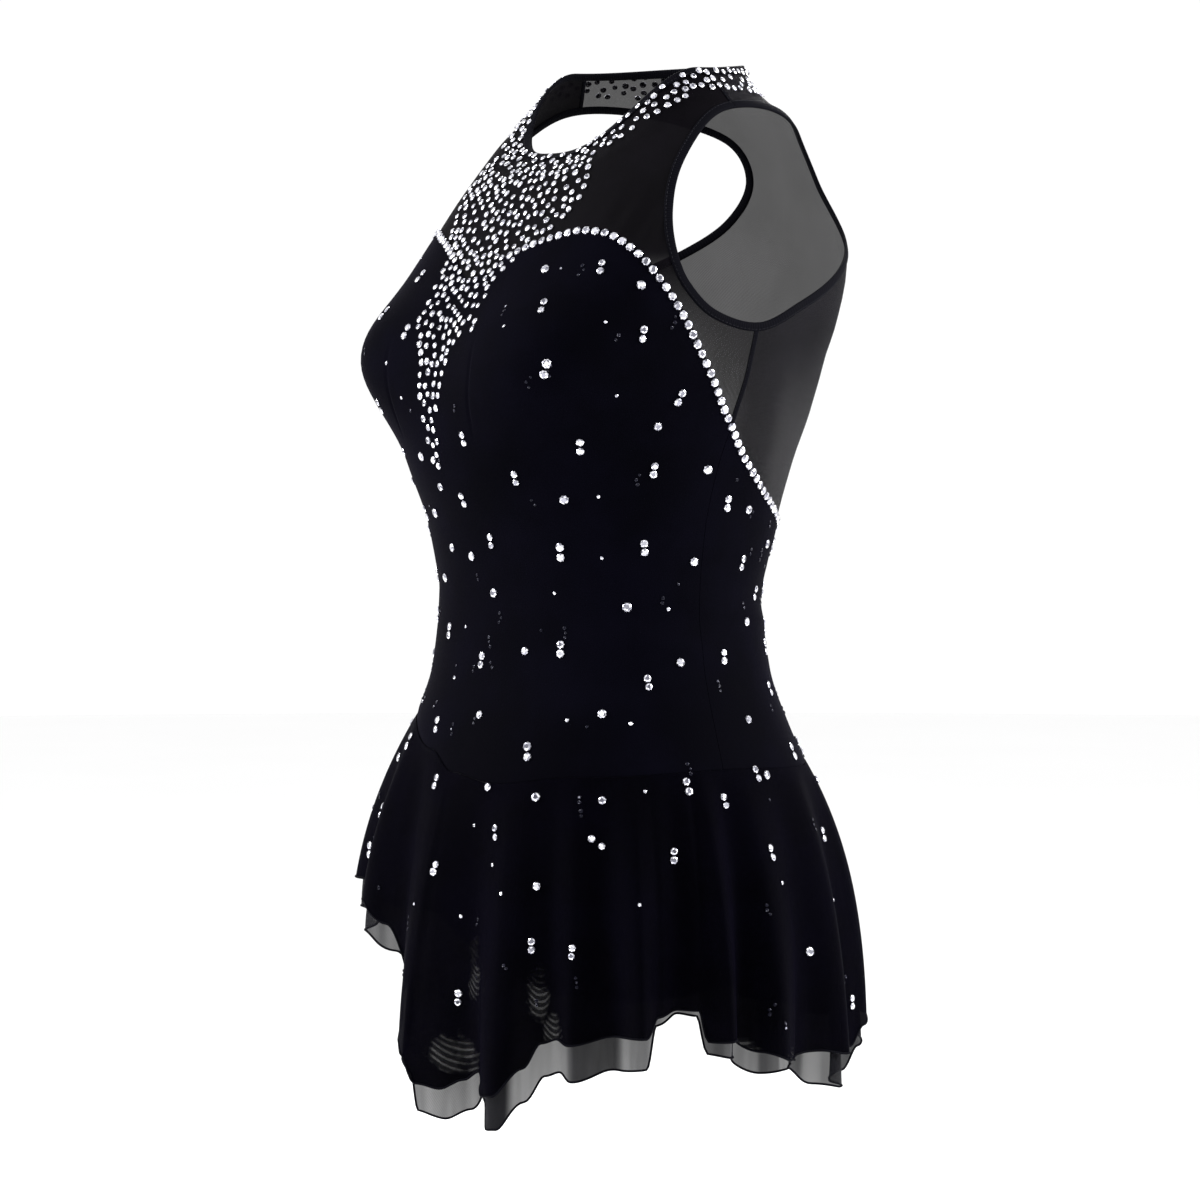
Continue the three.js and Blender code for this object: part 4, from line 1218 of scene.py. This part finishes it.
class DRESS_OT_scattered_stones(bpy.types.Operator):
    """Stones scattered over the velvet and the skirt, mostly in upright pairs"""

    bl_idname = "dress.scattered_stones"
    bl_label = "Scattered stones"

    def execute(self, context):
        rng = random.Random(29)
        self.kept = ([], [], [])
        self.size = context.scene.dress_stones.scatter_size / MM / 2
        velvet = [tuple(row) for row in VELVET_STONES.rows]
        velvet += self.unseen(rng, velvet, lambda a: (edge_run(a) + 16, seam_run(a) - 8), 1, 29)
        for angle, run, kind in velvet:
            self.add(rng, kind, angle, run, 1.0, on_cloth)
        skirt_rows = [tuple(row) for row in SKIRT_STONES.rows]
        skirt_rows += self.unseen(rng, skirt_rows, lambda a: (0.04, 0.78), SKIRT_LENGTH, 37)
        for angle, down, kind in skirt_rows:
            self.add(rng, kind, angle, down, 1 / float(skirt_drop(angle)), on_skirt)
        mount(stones("scattered_clear_stones", *self.kept, "clear stone"), None)
        self.kept = ([], [], [])
        for _ in range(120):
            angle = rng.uniform(-180, 180)
            run = rng.uniform(float(edge_run(angle)) + 8, float(seam_run(angle)) - 5)
            self.jet(rng, angle, run, 1.0, on_cloth)
        for _ in range(50):
            angle, down = rng.uniform(-180, 180), rng.uniform(0.03, 0.85)
            self.jet(rng, angle, down, 1 / SKIRT_LENGTH, on_skirt)
        mount(stones("scattered_jet_stones", *self.kept, "jet stone"), None)
        return {"FINISHED"}

    def unseen(self, rng, seen, limits, scale, apart):
        """Similar stones, in the same loose spacing, where the photograph doesn't reach."""
        taken = [(a, r) for a, r, _ in seen]
        found = []
        for _ in range(4000):
            angle = rng.uniform(-180, 180)
            place = rng.uniform(*limits(angle))
            half = panel_half(place) if scale == 1 and place < 245 else 0
            if -24 < angle < 122 or abs(angle) < half + 4:
                continue
            gaps = (math.hypot(folded(angle - a) * VELVET_DEGREE, (place - r) * scale) for a, r in taken)
            if min(gaps) > apart:
                taken.append((angle, place))
                found.append((angle, place, rng.choice((0, 1, 1, 2, 2, 2, 2, 3))))
        return found

    def put(self, surface, angle, run, radius):
        for kept, value in zip(self.kept, (*surface(angle, run), radius)):
            kept.append(value)

    def add(self, rng, kind, angle, run, step, surface):
        """A single stone, a pair one above the other, or a small one."""
        if kind in (0, 1):
            share = rng.uniform(0.38, 0.5) if kind == 0 else rng.uniform(0.95, 1.15)
            self.put(surface, angle, run, self.size * share)
            return
        size = self.size * (1.1 if kind == 3 else rng.uniform(0.86, 0.98))
        apart = size * 1.06 * step
        slant = 1.3 if kind == 4 else rng.uniform(-0.25, 0.25)
        self.put(surface, angle - slant, run - apart, size)
        self.put(surface, angle + slant, run + apart, size * rng.uniform(0.92, 1.05))

    def jet(self, rng, angle, run, step, surface):
        """Up to three small dark stones, one below the other."""
        for k in range(rng.choice((1, 2, 2, 3))):
            aside = rng.uniform(-0.9, 0.9) * (k > 0)
            self.put(surface, angle + aside, run + 3.1 * k * step, rng.uniform(0.95, 1.35))


class DRESS_OT_stage(bpy.types.Operator):
    """Floor, soft light and the camera"""

    bl_idname = "dress.stage"
    bl_label = "Stage"

    def execute(self, context):
        scene = context.scene
        stage = scene.dress_stage
        sin, cos = sin_cos(np.arange(96) * 3.75)
        ring = np.stack([FLOOR_RADIUS * cos, FLOOR_RADIUS * sin, np.full(96, stage.drop / MM)], -1)
        f = Finish("pale_floor")
        grain = f.noise(3, 2, 0.5)
        pale = tuple(stage.floor)
        look = f.finished(f.colours(grain, pale, [min(1, c * 1.02) for c in pale]), 0.85 + 0.1 * grain)
        make_object("studio_floor", ring, [tuple(range(96))], [look], smooth=False)
        for name, size, power, turn, rise, distance in LIGHTS:
            data = bpy.data.lights.new(name, "AREA")
            data.shape, data.size, data.size_y, data.energy = "RECTANGLE", size, size * 1.3, power
            place, look = self.aim(turn, rise)
            self.stand(scene, name, data, LIT_POINT + place * distance, look)
        data = bpy.data.cameras.new("camera")
        data.sensor_width = SENSOR
        data.lens = SENSOR * stage.distance / VIEW_WIDTH
        back, look = self.aim(VIEW_TURN, VIEW_RISE)
        sin, cos = sin_cos(VIEW_TURN)
        right = np.array([cos, sin, 0])
        place = back * stage.distance + right * VIEW_ASIDE + np.cross(back, right) * VIEW_LOW
        scene.camera = self.stand(scene, "camera", data, place, look)
        scene.world = bpy.data.worlds.new("studio")
        scene.world.use_nodes = True
        background = scene.world.node_tree.nodes["Background"]
        background.inputs["Color"].default_value = (1, 1, 1, 1)
        background.inputs["Strength"].default_value = 1.02
        scene.view_settings.view_transform = "Standard"
        return {"FINISHED"}

    def aim(self, azimuth, elevation):
        """Direction from the dress towards a camera or lamp, and the turn that looks back along it."""
        (sin, cos), (high, level) = sin_cos(azimuth), sin_cos(elevation)
        back = np.array([sin * level, -cos * level, high])
        return back, (-Vector(back)).to_track_quat("-Z", "Y")

    def stand(self, scene, name, data, place, look):
        """A camera or lamp at its place."""
        thing = bpy.data.objects.new(name, data)
        scene.collection.objects.link(thing)
        thing.location = place
        thing.rotation_mode = "QUATERNION"
        thing.rotation_quaternion = look
        return thing


class DRESS_PT_panel(bpy.types.Panel):
    """The dress and its pieces"""

    bl_idname = "DRESS_PT_panel"
    bl_label = "Skating dress"
    bl_space_type = "VIEW_3D"
    bl_region_type = "UI"
    bl_category = "Dress"

    def draw(self, context):
        for owner, group in GROUPS.items():
            box = self.layout.box()
            for name in group.__annotations__:
                box.prop(getattr(context.scene, owner), name)
        for operator in STEPS:
            self.layout.operator(operator.bl_idname)


GROUPS = {"dress_cloth": DressCloth, "dress_stones": DressStones, "dress_stage": DressStage}
STEPS = (
    DRESS_OT_stage, DRESS_OT_bodice, DRESS_OT_yoke, DRESS_OT_bindings, DRESS_OT_skirt, DRESS_OT_briefs,
    DRESS_OT_stone_trim, DRESS_OT_scattered_stones,
)


def register():
    for item in (*GROUPS.values(), *STEPS, DRESS_PT_panel):
        bpy.utils.register_class(item)
    for name, group in GROUPS.items():
        setattr(bpy.types.Scene, name, bpy.props.PointerProperty(type=group))


def unregister():
    for name in GROUPS:
        delattr(bpy.types.Scene, name)
    for item in reversed((*GROUPS.values(), *STEPS, DRESS_PT_panel)):
        bpy.utils.unregister_class(item)


def main():
    register()
    for step in STEPS:
        group, name = step.bl_idname.split(".")
        getattr(getattr(bpy.ops, group), name)()


if __name__ == "__main__":
    main()
